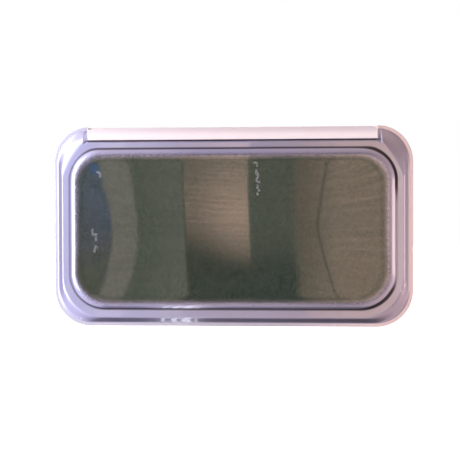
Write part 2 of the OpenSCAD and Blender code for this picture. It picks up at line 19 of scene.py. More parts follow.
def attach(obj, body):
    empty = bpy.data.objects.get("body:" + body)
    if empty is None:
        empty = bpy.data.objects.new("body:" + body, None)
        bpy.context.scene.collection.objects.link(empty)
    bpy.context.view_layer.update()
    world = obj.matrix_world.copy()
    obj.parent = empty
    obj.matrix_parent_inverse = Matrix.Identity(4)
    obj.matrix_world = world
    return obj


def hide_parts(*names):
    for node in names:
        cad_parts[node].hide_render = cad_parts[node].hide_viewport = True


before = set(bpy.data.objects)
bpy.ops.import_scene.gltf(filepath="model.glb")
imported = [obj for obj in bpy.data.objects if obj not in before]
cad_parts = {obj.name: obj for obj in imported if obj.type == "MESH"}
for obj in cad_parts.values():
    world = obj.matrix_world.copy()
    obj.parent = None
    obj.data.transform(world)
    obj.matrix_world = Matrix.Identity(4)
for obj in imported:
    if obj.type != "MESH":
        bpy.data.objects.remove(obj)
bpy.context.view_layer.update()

MM = 0.001
SCREW_RISE = 0.7
ACRYLIC_IOR = 1.49
BODY = "root"
LOG = logging.getLogger("caravan_window")
Array = np.ndarray
Colour = tuple[float, float, float]
Span = tuple[float, float]
Spot = tuple[float, float, float, float]
Profile = Array | list[float]
Maker = Callable[["Nodes"], "Field"]


class Side(Enum):
    """Left or right half of the window, with the sign of its X."""

    LEFT = -1
    RIGHT = 1

    @property
    def word(self) -> str:
        """Name of the side in a node's name."""
        return self.name.lower()


# Surfaces


def mix(a: Array | float, b: Array | float, t: Array | float) -> Array | float:
    """Value at the share t of the way from a to b."""
    return a + (b - a) * t


def ease(t: Array) -> Array:
    """Half a cosine wave from 0 to 1: (1 - cos(180 t)) / 2, with t kept within 0 and 1."""
    return (1 - np.cos(np.pi * np.clip(t, 0, 1))) / 2


def shaded(colour: Colour, share: float) -> Colour:
    """Colour times a share."""
    return tuple(share * c for c in colour)


@dataclass(frozen=True)
class Shell:
    """Closed surface: points in millimetres, four-cornered and three-cornered faces."""

    points: Array
    quads: Array
    tris: Array
    marks: Array | None = None

    def outward(self) -> "Shell":
        """The same surface with its faces turned outwards.

        The enclosed volume is a sixth of the sum of the triple products of the faces'
        corners, and is negative where the faces point inwards.

        Returns:
            The shell, with the order of its faces' corners reversed where needed.
        """
        q, p = self.quads, self.points
        tri = np.concatenate([q[:, [0, 1, 2]], q[:, [0, 2, 3]], self.tris])
        a, b, c = p[tri[:, 0]], p[tri[:, 1]], p[tri[:, 2]]
        if np.einsum("ij,ij->i", a, np.cross(b, c)).sum() >= 0:
            return self
        return Shell(p, q[:, ::-1], self.tris[:, ::-1], self.marks)

    def moved(self, x: float = 0, y: float = 0, z: float = 0) -> "Shell":
        """The same surface at another place."""
        return replace(self, points=self.points + np.array([x, y, z]))

    def on(self, side: Side) -> "Shell":
        """The surface as drawn for the right side, or its mirror image for the left."""
        return replace(self, points=self.points * np.array([side.value, 1, 1])).outward()


def joined(*shells: Shell) -> Shell:
    """Several shells as the islands of one surface.

    Args:
        shells: closed surfaces, each with its faces in any order.

    Returns:
        One shell whose faces all point outwards.
    """
    parts = [s.outward() for s in shells]
    starts = np.cumsum([0] + [len(s.points) for s in parts])
    marks = None if parts[0].marks is None else np.concatenate([s.marks for s in parts])
    return Shell(
        np.concatenate([s.points for s in parts]),
        np.concatenate([s.quads + k for s, k in zip(parts, starts)]),
        np.concatenate([s.tris + k for s, k in zip(parts, starts)]),
        marks,
    )


def loops_shell(grid: Array, marks: Array | None = None, ring: bool = False) -> Shell:
    """Closed shell through a stack of closed loops.

    Args:
        grid: points as loops x points of a loop x 3.
        marks: one number for each point of the grid.
        ring: True where the last loop joins the first, and False where each end is closed
            by a fan round the middle of its loop.

    Returns:
        The shell, its faces pointing outwards.
    """
    rows, cols = grid.shape[:2]
    index = np.arange(rows * cols).reshape(rows, cols)
    low = index if ring else index[:-1]
    high = np.roll(index, -1, axis=0) if ring else index[1:]
    quads = np.stack(
        [low, np.roll(low, -1, axis=1), np.roll(high, -1, axis=1), high], axis=-1
    ).reshape(-1, 4)
    points = grid.reshape(-1, 3)
    if ring:
        return Shell(points, quads, np.zeros((0, 3), int), marks).outward()
    ends = np.stack([grid[0].mean(axis=0), grid[-1].mean(axis=0)])
    first, last = index[0], index[-1]
    tris = np.concatenate([
        np.stack([np.roll(first, -1), first, np.full(cols, rows * cols)], axis=-1),
        np.stack([last, np.roll(last, -1), np.full(cols, rows * cols + 1)], axis=-1),
    ])
    if marks is not None:
        marks = np.concatenate([marks.reshape(-1), [marks[0].mean(), marks[-1].mean()]])
    return Shell(np.concatenate([points, ends]), quads, tris, marks).outward()


def turned(radii: Profile, heights: Profile, steps: int = 48) -> Shell:
    """Turned part about the Z axis: x = r cos(a), y = r sin(a), z = height.

    Args:
        radii: radius of each ring of the profile.
        heights: height of each ring of the profile.
        steps: points round the part.

    Returns:
        The shell, closed at both ends of the profile.
    """
    a = np.linspace(0, 2 * np.pi, steps, endpoint=False)
    r, z = np.asarray(radii, float)[:, None], np.asarray(heights, float)[:, None]
    return loops_shell(np.stack([r * np.cos(a), r * np.sin(a), z + 0 * a], axis=-1))


def laid(shell: Shell, axes: str) -> Shell:
    """The shell with its own X, Y and Z laid along other axes.

    Args:
        shell: a shell drawn about its own Z axis.
        axes: where its X, Y and Z go, such as "xzy".

    Returns:
        The turned shell, its faces pointing outwards.
    """
    places = ["xyz".index(c) for c in axes]
    points = np.zeros_like(shell.points)
    points[:, places] = shell.points
    return replace(shell, points=points).outward()


def quarter(edge: float, steps: int) -> tuple[Array, Array]:
    """Edge rounded by a radius r, by its angle a: r (1 - sin a) in and r (1 - cos a) up."""
    a = np.linspace(0, np.pi / 2, steps)
    return edge * (1 - np.sin(a)), edge * (1 - np.cos(a))


def rounded_ends(radius: float, length: float, edge: float, steps: int = 6) -> tuple[Array, Array]:
    """Profile of a bar whose two ends have rounded edges.

    Args:
        radius: radius of the bar.
        length: length of the bar.
        edge: radius of the rounded edges.
        steps: points on each rounded edge.

    Returns:
        Radii and heights of the profile, from one end to the other.
    """
    ins, z = quarter(edge, steps)
    r = radius - ins
    return np.concatenate([r, r[::-1]]), np.concatenate([z, length - z[::-1]])


def inset(outline: Array, distance: Array) -> Array:
    """Outline moved inwards along its corners' normals.

    The normal of a point is its neighbours' chord turned by a right angle.

    Args:
        outline: counter-clockwise points x 2.
        distance: how far in, one value for each loop.

    Returns:
        Loops x points x 2.
    """
    chord = np.roll(outline, -1, axis=0) - np.roll(outline, 1, axis=0)
    normal = np.stack([chord[:, 1], -chord[:, 0]], axis=-1)
    normal /= np.linalg.norm(normal, axis=1, keepdims=True)
    return outline[None] - np.asarray(distance, float)[:, None, None] * normal[None]


def raised(loops: Array, heights: Array) -> Array:
    """Loops x points x 2 and a height for each loop, as loops x points x 3."""
    rise = np.broadcast_to(heights[:, None, None], loops.shape[:2] + (1,))
    return np.concatenate([loops, rise], axis=-1)


def soft_plate(outline: Array, low: float, high: float, edge: float, crown: float = 0) -> Shell:
    """Plate with rounded edges, drawn in X-Y and raised along Z.

    Its loops follow quarter circles at both faces: in by r (1 - sin(a)) and up by
    r (1 - cos(a)). A crowned top rises to its middle with the square root of the way in.

    Args:
        outline: counter-clockwise points x 2, without narrow necks.
        low: height of the lower face.
        high: height of the upper face's edge.
        edge: radius of the rounded edges.
        crown: further rise of the upper face's middle.

    Returns:
        The closed plate.
    """
    step_in, step_up = quarter(edge, 6)
    sides = inset(outline, np.concatenate([step_in, step_in[::-1]]))
    shares = np.linspace(0.85, 0.15, 5)
    top = mix(outline.mean(axis=0), sides[-1][None], shares[:, None, None])
    rise = high + crown * np.sqrt(1 - shares**2)
    return loops_shell(raised(
        np.concatenate([sides, top]),
        np.concatenate([low + step_up, high - step_up[::-1], rise]),
    ))


def arc(centre: tuple[float, float], r: float, start: float, end: float, n: int) -> Array:
    """Points on a circle's arc, its angles in degrees: centre + r (cos a, sin a)."""
    a = np.radians(np.linspace(start, end, n))
    return np.stack([centre[0] + r * np.cos(a), centre[1] + r * np.sin(a)], axis=-1)


def listed(*numbers: Array | float) -> Array:
    """Rows of numbers, where a single number is the same in every row."""
    return np.stack(np.broadcast_arrays(*numbers), axis=-1).astype(float)


def sampled(want: Array, along: Array, rows: Array) -> Array:
    """Rows x numbers, read at wanted places between the rows' own places."""
    return np.stack([np.interp(want, along, column) for column in rows.T], axis=-1)


def softened(curve: Array, reach: int, width: float, ends: str) -> Array:
    """Curve whose numbers are averaged with a bell over the points beside them.

    The bell is exp(-(k / width)^2 / 2) for the point k places away.

    Args:
        curve: points x numbers, at even distances.
        reach: number of points on each side.
        width: width of the bell, in points.
        ends: "wrap" for a closed curve, and "edge" for one whose ends go on unchanged.

    Returns:
        Softened points x numbers.
    """
    bell = np.exp(-0.5 * (np.arange(-reach, reach + 1) / width) ** 2)
    bell /= bell.sum()
    padded = np.pad(curve, ((reach, reach), (0, 0)), mode=ends)
    return np.stack([np.convolve(column, bell, "valid") for column in padded.T], axis=-1)


def even(outline: Array, count: int) -> Array:
    """Closed outline with points at equal distances along it.

    Args:
        outline: points x 2.
        count: number of points wanted.

    Returns:
        The outline as count x 2.
    """
    closed = np.concatenate([outline, outline[:1]])
    along = np.concatenate([[0], np.cumsum(np.linalg.norm(np.diff(closed, axis=0), axis=1))])
    want = np.linspace(0, along[-1], count, endpoint=False)
    return sampled(want, along, closed)


def two_circles(length: float, r0: float, r1: float, count: int = 96) -> Array:
    """Outline that wraps a circle of radius r0 and one of r1, a length to its right."""
    tangent = math.degrees(math.acos((r0 - r1) / length))
    return even(np.concatenate([
        arc((0, 0), r0, tangent, 360 - tangent, 48),
        arc((length, 0), r1, -tangent, tangent, 48),
    ]), count)


def rounded_box(w: float, h: float, r: float, count: int = 96) -> Array:
    """Outline of a rectangle with round corners, centred on the origin.

    Args:
        w: width.
        h: height.
        r: corner radius.
        count: number of points.

    Returns:
        The outline.
    """
    x, y = w / 2 - r, h / 2 - r
    corners = [((x, -y), -90), ((x, y), 0), ((-x, y), 90), ((-x, -y), 180)]
    return even(np.concatenate([arc(c, r, s, s + 90, 12) for c, s in corners]), count)


# Finishes


class Zone(NamedTuple):
    """Part of the front: the two places along X and along Z between which it comes in."""

    x: Span | None = None
    z: Span | None = None


class Grain(NamedTuple):
    """Noise: grains in a metre, finer layers and their share, and where it comes in."""

    scale: float
    detail: float = 3
    rough: float = 0.5
    span: Span | None = None


class Field:
    """Number or colour over a surface, with sums written as + - * and /."""

    def __init__(self, nodes: "Nodes", socket: bpy.types.NodeSocket) -> None:
        """Keeps the node tree and the socket that gives the value."""
        self.nodes, self.socket = nodes, socket

    def __add__(self, other: "Field | float") -> "Field":
        """This plus another."""
        return self.nodes.math("ADD", self, other)

    def __sub__(self, other: "Field | float") -> "Field":
        """This less another."""
        return self.nodes.math("SUBTRACT", self, other)

    def __rsub__(self, other: float) -> "Field":
        """A number less this."""
        return self.nodes.math("SUBTRACT", other, self)

    def __mul__(self, other: "Field | float") -> "Field":
        """This times another."""
        return self.nodes.math("MULTIPLY", self, other)

    def __truediv__(self, other: "Field | float") -> "Field":
        """This divided by another."""
        return self.nodes.math("DIVIDE", self, other)

    def __abs__(self) -> "Field":
        """This without its sign."""
        return self.nodes.math("ABSOLUTE", self)


class Nodes:
    """Node tree with short calls for the nodes that the finishes and the stage need."""

    def __init__(self, tree: bpy.types.NodeTree) -> None:
        """Empties the tree."""
        self.tree = tree
        self.tree.nodes.clear()

    def put(self, socket: bpy.types.NodeSocket, value: object) -> None:
        """Links or sets one input.

        Args:
            socket: the input.
            value: a field is linked, a tuple of three is a colour, None changes nothing,
                and anything else is the input's own value.
        """
        if isinstance(value, Field):
            self.tree.links.new(value.socket, socket)
        elif isinstance(value, tuple) and len(value) == 3:
            socket.default_value = (*value, 1.0)
        elif value is not None:
            socket.default_value = value

    def made(self, kind: str, inputs: dict[str | int, object], output: str | int = 0,
             **settings: object) -> Field:
        """Adds a node.

        Args:
            kind: its kind, such as Math.
            inputs: what to put into its inputs, by their names or places.
            output: the output that is wanted.
            settings: its other properties, which are set first.

        Returns:
            What the output gives.
        """
        node = self.tree.nodes.new("ShaderNode" + kind)
        for name, value in settings.items():
            setattr(node, name, value)
        for name, value in inputs.items():
            self.put(node.inputs[name], value)
        return Field(self, node.outputs[output])

    def close(self, kind: str, light: Field) -> None:
        """Gives the finished light to the tree's output, a node of that kind."""
        self.put(self.tree.nodes.new("ShaderNode" + kind).inputs["Surface"], light)

    def place(self) -> Field:
        """Place on the object, in metres."""
        return self.made("TexCoord", {}, "Object")

    def axis(self, letter: str) -> Field:
        """Place on the object along X, Y or Z, in metres."""
        return self.made("SeparateXYZ", {0: self.place()}, letter)

    def mark(self, name: str) -> Field:
        """Number that the mesh carries at each of its points under that name."""
        return self.made("Attribute", {}, "Fac", attribute_name=name)

    def stretched(self, scale: tuple[float, float, float]) -> Field:
        """Place on the object times three factors, of which a small one draws patterns out."""
        return self.made("Mapping", {"Vector": self.place(), "Scale": Vector(scale)})

    def noise(self, grain: Grain, vector: Field | None = None) -> Field:
        """Soft noise at a place, or its smooth change from 0 to 1 over the grain's span."""
        value = self.made("TexNoise", {
            "Vector": vector or self.place(), "Scale": grain.scale, "Detail": grain.detail,
            "Roughness": grain.rough,
        }, "Fac")
        return self.span(value, *grain.span) if grain.span else value

    def math(self, kind: str, a: Field | float, b: Field | float | None = None) -> Field:
        """Result of the Math node's operation of that kind, for one or two numbers."""
        return self.made("Math", {0: a, 1: b}, operation=kind)

    def span(self, value: Field, low: Field | float, high: Field | float,
             start: Field | float = 0, end: Field | float = 1) -> Field:
        """Start + (end - start) t^2 (3 - 2 t), with t the value's place from low to high."""
        return self.made("MapRange", {
            "Value": value, "From Min": low, "From Max": high, "To Min": start, "To Max": end,
        }, "Result", interpolation_type="SMOOTHSTEP")

    def within(self, zone: Zone) -> Field:
        """1 in the zone and 0 outside it: the product of its changes along X and Z."""
        shares = [self.span(self.axis(letter), *places)
                  for letter, places in zip("XZ", zone) if places]
        return shares[0] * shares[1] if len(shares) == 2 else shares[0]

    def spot(self, x: float, z: float, reach_x: float, reach_z: float) -> Field:
        """1 round a place on the front, falling to 0 at an ellipse; all in millimetres.

        Args:
            x: place along X.
            z: place along Z.
            reach_x: half the ellipse's width.
            reach_z: half the ellipse's height.

        Returns:
            A smooth fall with the sum of the squares of the shares of the way out.
        """
        across = (self.axis("X") - x * MM) / (reach_x * MM)
        up = (self.axis("Z") - z * MM) / (reach_z * MM)
        return self.span(across * across + up * up, 0.3, 1, 1, 0)

    def blend(self, share: Field | float, a: Field | Colour, b: Field | Colour) -> Field:
        """Colour at the share of the way from a to b."""
        return self.made("Mix", {0: share, 6: a, 7: b}, 2, data_type="RGBA")

    def relief(self, height: Field, depth: float, strength: float) -> Field:
        """Normal of a surface raised by height times depth in metres, at a share of it."""
        return self.made("Bump", {"Strength": strength, "Distance": depth, "Height": height})

    def glow(self, kind: str, colour: Field | Colour, strength: Field | float) -> Field:
        """Light of a colour, where a strength of 1 is white; kind is Emission or Background."""
        return self.made(kind, {"Color": colour, "Strength": strength})


class Graph(Nodes):
    """Node tree of one new material with a Principled shader."""

    def __init__(self, name: str) -> None:
        """Makes the empty material.

        Args:
            name: its name.
        """
        self.material = bpy.data.materials.new(name)
        self.material.use_nodes = True
        super().__init__(self.material.node_tree)

    def surface(self, **inputs: object) -> bpy.types.Material:
        """Adds the shader.

        Args:
            inputs: the shader's inputs by their names, with _ for a space.

        Returns:
            The finished material.
        """
        named = {name.replace("_", " "): value for name, value in inputs.items()}
        self.close("OutputMaterial", self.made("BsdfPrincipled", named))
        return self.material


@dataclass(frozen=True)
class SprayedAcrylic:
    """Acrylic pane with a silver border sprayed on it, fading out round the clear field.

    The paint follows the mesh's "inward" mark, the distance in millimetres from the crease
    towards the middle, which is far below 0 on the rim. Zones and places along X and Z are
    in metres. The border carries painted light: a cool tint at the left and a warm tint at
    the right, painted shade under the rail, in the crease, in the gap below the rail and on
    the down-facing bottom step, and pale specks of painted highlight. The clear field's
    marks at the left are painted glints.
    """

    name: str = "sprayed_pane"
    silver: Colour = (0.57, 0.55, 0.70)
    silver_deep: Colour = (0.48, 0.455, 0.60)
    # Next three colours: painted shade under the rail, then painted warm light and painted cool
    # light.
    silver_dull: Colour = (0.41, 0.41, 0.59)
    silver_warm: Colour = (0.47, 0.43, 0.53)
    silver_cool: Colour = (0.54, 0.53, 0.73)
    edge: Colour = (0.78, 0.76, 0.86)
    # Rim colour at the far right, with painted warm light.
    edge_warm: Colour = (0.95, 0.80, 0.85)
    mist: Colour = (0.27, 0.21, 0.25)
    # Painted shade for the crease, the bottom step and the gap below the rail.
    grime: Colour = (0.045, 0.04, 0.045)
    tint: Colour = (0.020, 0.038, 0.025)
    tint_warm: Colour = (0.027, 0.038, 0.025)
    dust: Colour = (0.085, 0.092, 0.075)
    # Pale marks on the clear field: painted glints at the left, scratches right of the middle.
    scuff: Colour = (0.60, 0.56, 0.62)
    # Pale specks on the border are painted highlights.
    chip: Colour = (1.0, 0.93, 0.95)
    scuffs: tuple[Spot, ...] = (
        (-350, -246, 4, 12), (-344, -252, 8, 4), (-341, -262, 4, 9), (-341, -284, 6, 6),
        (-345, -292, 4, 7), (-334, -96, 7, 4), (-330, -103, 4, 8), (60, -74, 8, 3.5),
        (65, -80, 3.5, 6), (63, -97, 4, 9), (67, -105, 4, 10), (64, -115, 3.5, 8),
        (69, -122, 6, 4), (66, -134, 4, 7), (70, -143, 4.5, 4.5), (66, -151, 4, 4.5),
    )
    chips: tuple[Spot, ...] = ((422, -394, 5, 8), (431, -378, 4, 9), (-386, -463, 12, 5))
    spray: Grain = Grain(520, 3, 0.6)
    cloud: Grain = Grain(22, 2)
    flakes: Grain = Grain(2600, 1, 0.5, (0.35, 0.65))
    tint_cloud: Grain = Grain(5, 3, 0.5, (0.35, 0.65))
    dust_grain: Grain = Grain(190, 4, 0.85, (0.40, 0.62))
    scuff_grain: Grain = Grain(420, 5, 0.8, (0.44, 0.56))
    chip_grain: Grain = Grain(260, 4, 0.7, (0.50, 0.58))
    film: Grain = Grain(60, 5, 0.6, (0.5, 0.8))
    waves: Grain = Grain(7, 1)
    wave_depth: float = 0.0004
    wave_share: float = 0.04
    scuff_share: float = 0.45
    flake_share: float = 0.3
    dust_share: float = 0.5
    metal: float = 0.88
    paint_rough: float = 0.34
    film_rough: float = 0.03
    glass_rough: float = 0.02
    clearness: float = 0.4
    fade: Span = (8, 31)
    thin_reach: float = 14
    spray_reach: float = 30
    cloud_reach: float = 3
    fade_right: Span = (0.29, 0.385)
    fade_right_shift: float = -4.5
    fade_low: Span = (-0.25, -0.40)
    fade_low_shift: float = 3
    # Zone of painted shade under the rail.
    below_rail: Zone = Zone((-0.36, -0.10), (-0.09, -0.035))
    # Zones of painted light: warm at the bottom right, cool at the left, warm at the right and far
    # right.
    low_right: Zone = Zone((0.05, 0.33), (-0.38, -0.43))
    left: Zone = Zone((-0.05, -0.25))
    right: Zone = Zone((0, 0.3))
    far_right: Zone = Zone((0.2, 0.4))
    # Painted shade on the down-facing step along the bottom.
    step_foot: Span = (-0.459, -0.463)
    step_foot_ends: Span = (0.33, 0.39)
    step_foot_grime: float = 0.3
    rim: Span = (-66, -48)
    # Painted shadow in the gap below the rail.
    rail_gap: Span = (-0.0185, -0.0168)
    pocket_wall: tuple[Span, Span] = ((-39, -30), (-17, -19.5))
    # The crease's painted shade, fainter along the middle of the right side.
    worn_right: Zone = Zone((0.30, 0.37))
    worn_from: Zone = Zone(z=(-0.12, -0.19))
    worn_to: Zone = Zone(z=(-0.40, -0.35))
    worn_share: float = 0.25
    crease_in: Span = (-6, -1.5)
    crease_end: Span = (0.8, 3.4)
    crease_wider: float = 3
    crease_left: Span = (-0.42, -0.30)
    crease_share: Span = (0.7, 0.85)
    crease_more: float = 0.15
    haze_reach: float = 14
    haze_left: Span = (-0.20, -0.36)

    def reach(self, g: Graph, inward: Field) -> Field:
        """Distance inwards as the paint's edge has it, grainy from the spray.

        Args:
            g: the material's node tree.
            inward: distance from the crease.

        Returns:
            The distance, smaller at the right and larger at the bottom.
        """
        spray = (g.noise(self.spray) - 0.5) * self.spray_reach
        cloud = (g.noise(self.cloud) - 0.5) * self.cloud_reach
        side = g.span(g.axis("X"), *self.fade_right, 0, self.fade_right_shift)
        low = g.span(g.axis("Z"), *self.fade_low, 0, self.fade_low_shift)
        return inward + (side + low) + (spray + cloud)

    def crease(self, g: Graph, inward: Field) -> Field:
        """Share of painted shade in the crease, widest at the right corners and fainter between
        them.

        Args:
            g: the material's node tree.
            inward: distance from the crease.

        Returns:
            The share, from 0 to 1.
        """
        middle = g.within(self.worn_from) * g.within(self.worn_to)
        right = g.within(self.worn_right)
        corner = right * (1.0 - middle)
        start, end = (corner * self.crease_wider + place for place in self.crease_end)
        band = g.span(inward, *self.crease_in) * g.span(inward, start, end, 1, 0)
        share = g.span(g.axis("X"), *self.crease_left, *self.crease_share)
        share = share + corner * self.crease_more
        return band * share * g.span(right * middle, 0, 1, 1, self.worn_share)

    def border(self, g: Graph, inward: Field, crease: Field) -> Field:
        """Colour of the silver border where the paint is whole, with its painted light and shade.

        Args:
            g: the material's node tree.
            inward: distance from the crease.
            crease: share of painted shade in the crease.

        Returns:
            The colour.
        """
        flake = g.noise(self.flakes) * self.flake_share
        silver = g.blend(flake, self.silver, self.silver_deep)
        # painted shade under the rail, warm-tinted towards the right
        dull = g.blend(g.within(self.right), self.silver_dull, self.silver_warm)
        silver = g.blend(g.within(self.below_rail), silver, dull)
        # painted warm light at the bottom right
        silver = g.blend(g.within(self.low_right), silver, self.silver_warm)
        # painted cool light at the left
        silver = g.blend(g.within(self.left), silver, self.silver_cool)
        # painted shade on the down-facing step along the bottom, less near the corners
        foot = g.span(g.axis("Z"), *self.step_foot) * g.span(
            abs(g.axis("X")), *self.step_foot_ends, self.step_foot_grime, 0)
        silver = g.blend(foot, silver, self.grime)
        # the rim, with painted warm light at the far right
        edge = g.blend(g.within(self.far_right), self.edge, self.edge_warm)
        silver = g.blend(g.span(inward, *self.rim), edge, silver)
        # painted shade in the crease
        silver = g.blend(crease, silver, self.grime)
        # painted shadow in the gap below the rail, on the pocket's lower wall
        outer, inner = (g.span(inward, *places) for places in self.pocket_wall)
        gap = g.span(g.axis("Z"), *self.rail_gap) * outer * inner
        return g.blend(gap, silver, self.grime)

    def field(self, g: Graph) -> Field:
        """Colour of the clear field, dusty and scuffed, with painted glints at its left.

        Args:
            g: the material's node tree.

        Returns:
            The colour.
        """
        tint = g.blend(g.noise(self.tint_cloud), self.tint, self.tint_warm)
        tint = g.blend(g.noise(self.dust_grain) * self.dust_share, tint, self.dust)
        # pale marks: painted glints at the left, scratches right of the middle
        for spot in self.scuffs:
            share = g.spot(*spot) * g.noise(self.scuff_grain) * self.scuff_share
            tint = g.blend(share, tint, self.scuff)
        return tint

    def material(self) -> bpy.types.Material:
        """Makes the material.

        Returns:
            One shader whose colour, metal, coat and clearness follow the paint.
        """
        g = Graph(self.name)
        inward = g.mark("inward")
        reach, crease = self.reach(g, inward), self.crease(g, inward)
        start, end = self.fade
        clear = g.span(reach, start, end)
        thin = g.span(reach, start, start + self.thin_reach)
        silver = g.blend(thin, self.border(g, inward, crease), self.mist)
        # painted highlights: pale specks on the border
        for spot in self.chips:
            silver = g.blend(g.spot(*spot) * g.noise(self.chip_grain), silver, self.chip)
        paint = 1.0 - clear
        film = g.noise(self.film) * self.film_rough + self.glass_rough
        haze = clear * g.span(reach, end, end + self.haze_reach, 1, 0)
        haze = haze * g.span(g.axis("X"), *self.haze_left, 0.6, 1)
        return g.surface(
            Base_Color=g.blend(clear, silver, self.field(g)),
            Metallic=paint * self.metal,
            Roughness=paint * self.paint_rough + film,
            Specular_IOR_Level=g.span(haze, 0, 1, 1.0, 0.5),
            Transmission_Weight=clear * self.clearness,
            IOR=ACRYLIC_IOR,
            Coat_Weight=g.span(haze, 0, 1, 1.0, 0.6) * g.span(crease, 0, 1, 1.0, 0.25),
            Coat_Roughness=g.span(paint, 0, 1, 0.03, 0.018),
            Coat_IOR=g.span(paint, 0, 1, 1.5, 2.0),
            Normal=g.relief(g.noise(self.waves), self.wave_depth, self.wave_share),
        )


@dataclass(frozen=True)
class ClearAcrylic:
    """Flat inner pane: lightly tinted, glossy, with fine wiping marks."""

    name: str = "tinted_pane"
    tint: Colour = (0.42, 0.47, 0.40)
    cloud: Grain = Grain(8, 2)
    wiping: Grain = Grain(40, 4, 0.6, (0.3, 0.8))
    waves: Grain = Grain(5, 1)

    def material(self) -> bpy.types.Material:
        """Makes the material.

        Returns:
            A clear shader whose roughness follows the wiping marks.
        """
        g = Graph(self.name)
        wipe = g.noise(self.wiping, g.stretched((1, 1, 6)))
        return g.surface(
            Base_Color=g.blend(g.noise(self.cloud), self.tint, shaded(self.tint, 0.9)),
            Roughness=wipe * 0.06 + 0.02,
            Transmission_Weight=0.9,
            IOR=ACRYLIC_IOR,
            Normal=g.relief(g.noise(self.waves), 0.0005, 0.06),
        )


@dataclass(frozen=True)
class RailLacquer:
    """Pale lacquer on the extruded sash rail, with fine lines along it, small rubbed marks and
    painted shade towards its top edge.
    """

    name: str = "rail_lacquer"
    colour: Colour = (0.66, 0.60, 0.61)
    # Painted shade colour for the rail's top edge.
    worn: Colour = (0.50, 0.44, 0.46)
    scuff: Colour = (0.42, 0.38, 0.38)
    chip: Colour = (0.05, 0.05, 0.05)
    chip_at: Spot = (-357.5, 14.5, 6, 3.5)
    worn_up: Span = (-0.008, 0.0145)
    worn_share: float = 0.9
    scuff_share: float = 0.35
    lines: Grain = Grain(400, 3, 0.6)
    scuffs: Grain = Grain(180, 6, 0.7, (0.66, 0.74))

    def material(self) -> bpy.types.Material:
        """Makes the material.

        Returns:
            A coated shader, darker towards the rail's top edge with painted shade.
        """
        g = Graph(self.name)
        lines = g.noise(self.lines, g.stretched((0.02, 1, 1)))
        base = g.blend(lines * 0.7, self.colour, shaded(self.colour, 0.93))
        # painted shade, darker towards the rail's top edge
        worn = g.span(g.axis("Z"), *self.worn_up, 0, self.worn_share)
        base = g.blend(g.spot(*self.chip_at), g.blend(worn, base, self.worn), self.chip)
        return g.surface(
            Base_Color=g.blend(g.noise(self.scuffs) * self.scuff_share, base, self.scuff),
            Metallic=0.15,
            Roughness=g.span(lines, 0.2, 0.8, 0.28, 0.40),
            Coat_Weight=0.5,
            Coat_Roughness=0.12,
            Normal=g.relief(lines, 0.0001, 0.25),
        )


@dataclass(frozen=True)
class BareMetal:
    """Bare aluminium or zinc-plated steel, with drawing lines along one axis."""

    name: str
    colour: Colour
    stretch: tuple[float, float, float] = (1, 1, 1)
    roughness: float = 0.32
    lines: Grain = Grain(700, 4, 0.6)
    cloud: Grain = Grain(35, 3, 0.5, (0.3, 0.7))

    def material(self) -> bpy.types.Material:
        """Makes the material.

        Returns:
            A metal shader, clouded and finely lined.
        """
        g = Graph(self.name)
        lines = g.noise(self.lines, g.stretched(self.stretch))
        return g.surface(
            Base_Color=g.blend(g.noise(self.cloud), self.colour, shaded(self.colour, 0.78)),
            Metallic=1.0,
            Roughness=g.span(lines, 0.2, 0.8, self.roughness - 0.08, self.roughness + 0.10),
            Normal=g.relief(lines, 0.0001, 0.3),
        )


@dataclass(frozen=True)
class MouldedPlastic:
    """Moulded plastic with a fine grain and a trace of wear on it."""

    name: str
    colour: Colour
    roughness: float = 0.45
    grain: Grain = Grain(1800, 2)
    wear: Grain = Grain(55, 5, 0.65, (0.52, 0.75))

    def material(self) -> bpy.types.Material:
        """Makes the material.

        Returns:
            A plastic shader, paler and smoother where its wear shows.
        """
        g = Graph(self.name)
        wear = g.noise(self.wear)
        pale = tuple(min(1.0, 1.5 * c + 0.02) for c in self.colour)
        return g.surface(
            Base_Color=g.blend(wear * 0.5, self.colour, pale),
            Roughness=g.span(wear, 0, 1, self.roughness, self.roughness - 0.1),
            Normal=g.relief(g.noise(self.grain), 0.0002, 0.35),
        )


@dataclass(frozen=True)
class SealRubber:
    """Black rubber with a fine grain and a pale bloom."""

    name: str = "seal_rubber"
    colour: Colour = (0.018, 0.018, 0.019)
    bloom: Colour = (0.055, 0.053, 0.050)
    bloom_grain: Grain = Grain(28, 5, 0.7, (0.45, 0.8))
    grain: Grain = Grain(900, 3)

    def material(self) -> bpy.types.Material:
        """Makes the material.

        Returns:
            A matt shader, rougher where it has bloomed.
        """
        g = Graph(self.name)
        bloom = g.noise(self.bloom_grain)
        return g.surface(
            Base_Color=g.blend(bloom * 0.6, self.colour, self.bloom),
            Roughness=g.span(bloom, 0, 1, 0.55, 0.8),
            Normal=g.relief(g.noise(self.grain), 0.0002, 0.35),
        )


class Finish(Enum):
    """Finishes of the window, one for each kind of surface."""

    PANE = SprayedAcrylic()
    INNER = ClearAcrylic()
    RAIL = RailLacquer()
    CAP = MouldedPlastic("cap_moulding", (0.80, 0.77, 0.78), 0.38)
    EXTRUSION = BareMetal("drawn_aluminium", (0.70, 0.71, 0.73), (0.02, 1, 1), 0.34)
    TUBE = BareMetal("stay_aluminium", (0.74, 0.75, 0.77), (1, 1, 0.02), 0.26)
    STEEL = BareMetal("zinc_steel", (0.62, 0.62, 0.63), (1, 1, 1), 0.36)
    RUBBER = SealRubber()
    PLASTIC = MouldedPlastic("dark_moulding", (0.030, 0.031, 0.034), 0.42)
    BUTTON = MouldedPlastic("pale_moulding", (0.42, 0.43, 0.45), 0.30)

    def material(self) -> bpy.types.Material:
        """The finish's material, made when it is first wanted."""
        return bpy.data.materials.get(self.value.name) or self.value.material()


def linked(name: str, data: bpy.types.ID) -> bpy.types.Object:
    """Adds an object to the scene.

    Args:
        name: its name.
        data: its mesh, lamp or camera.

    Returns:
        The new object.
    """
    piece = bpy.data.objects.new(name, data)
    bpy.context.scene.collection.objects.link(piece)
    return piece


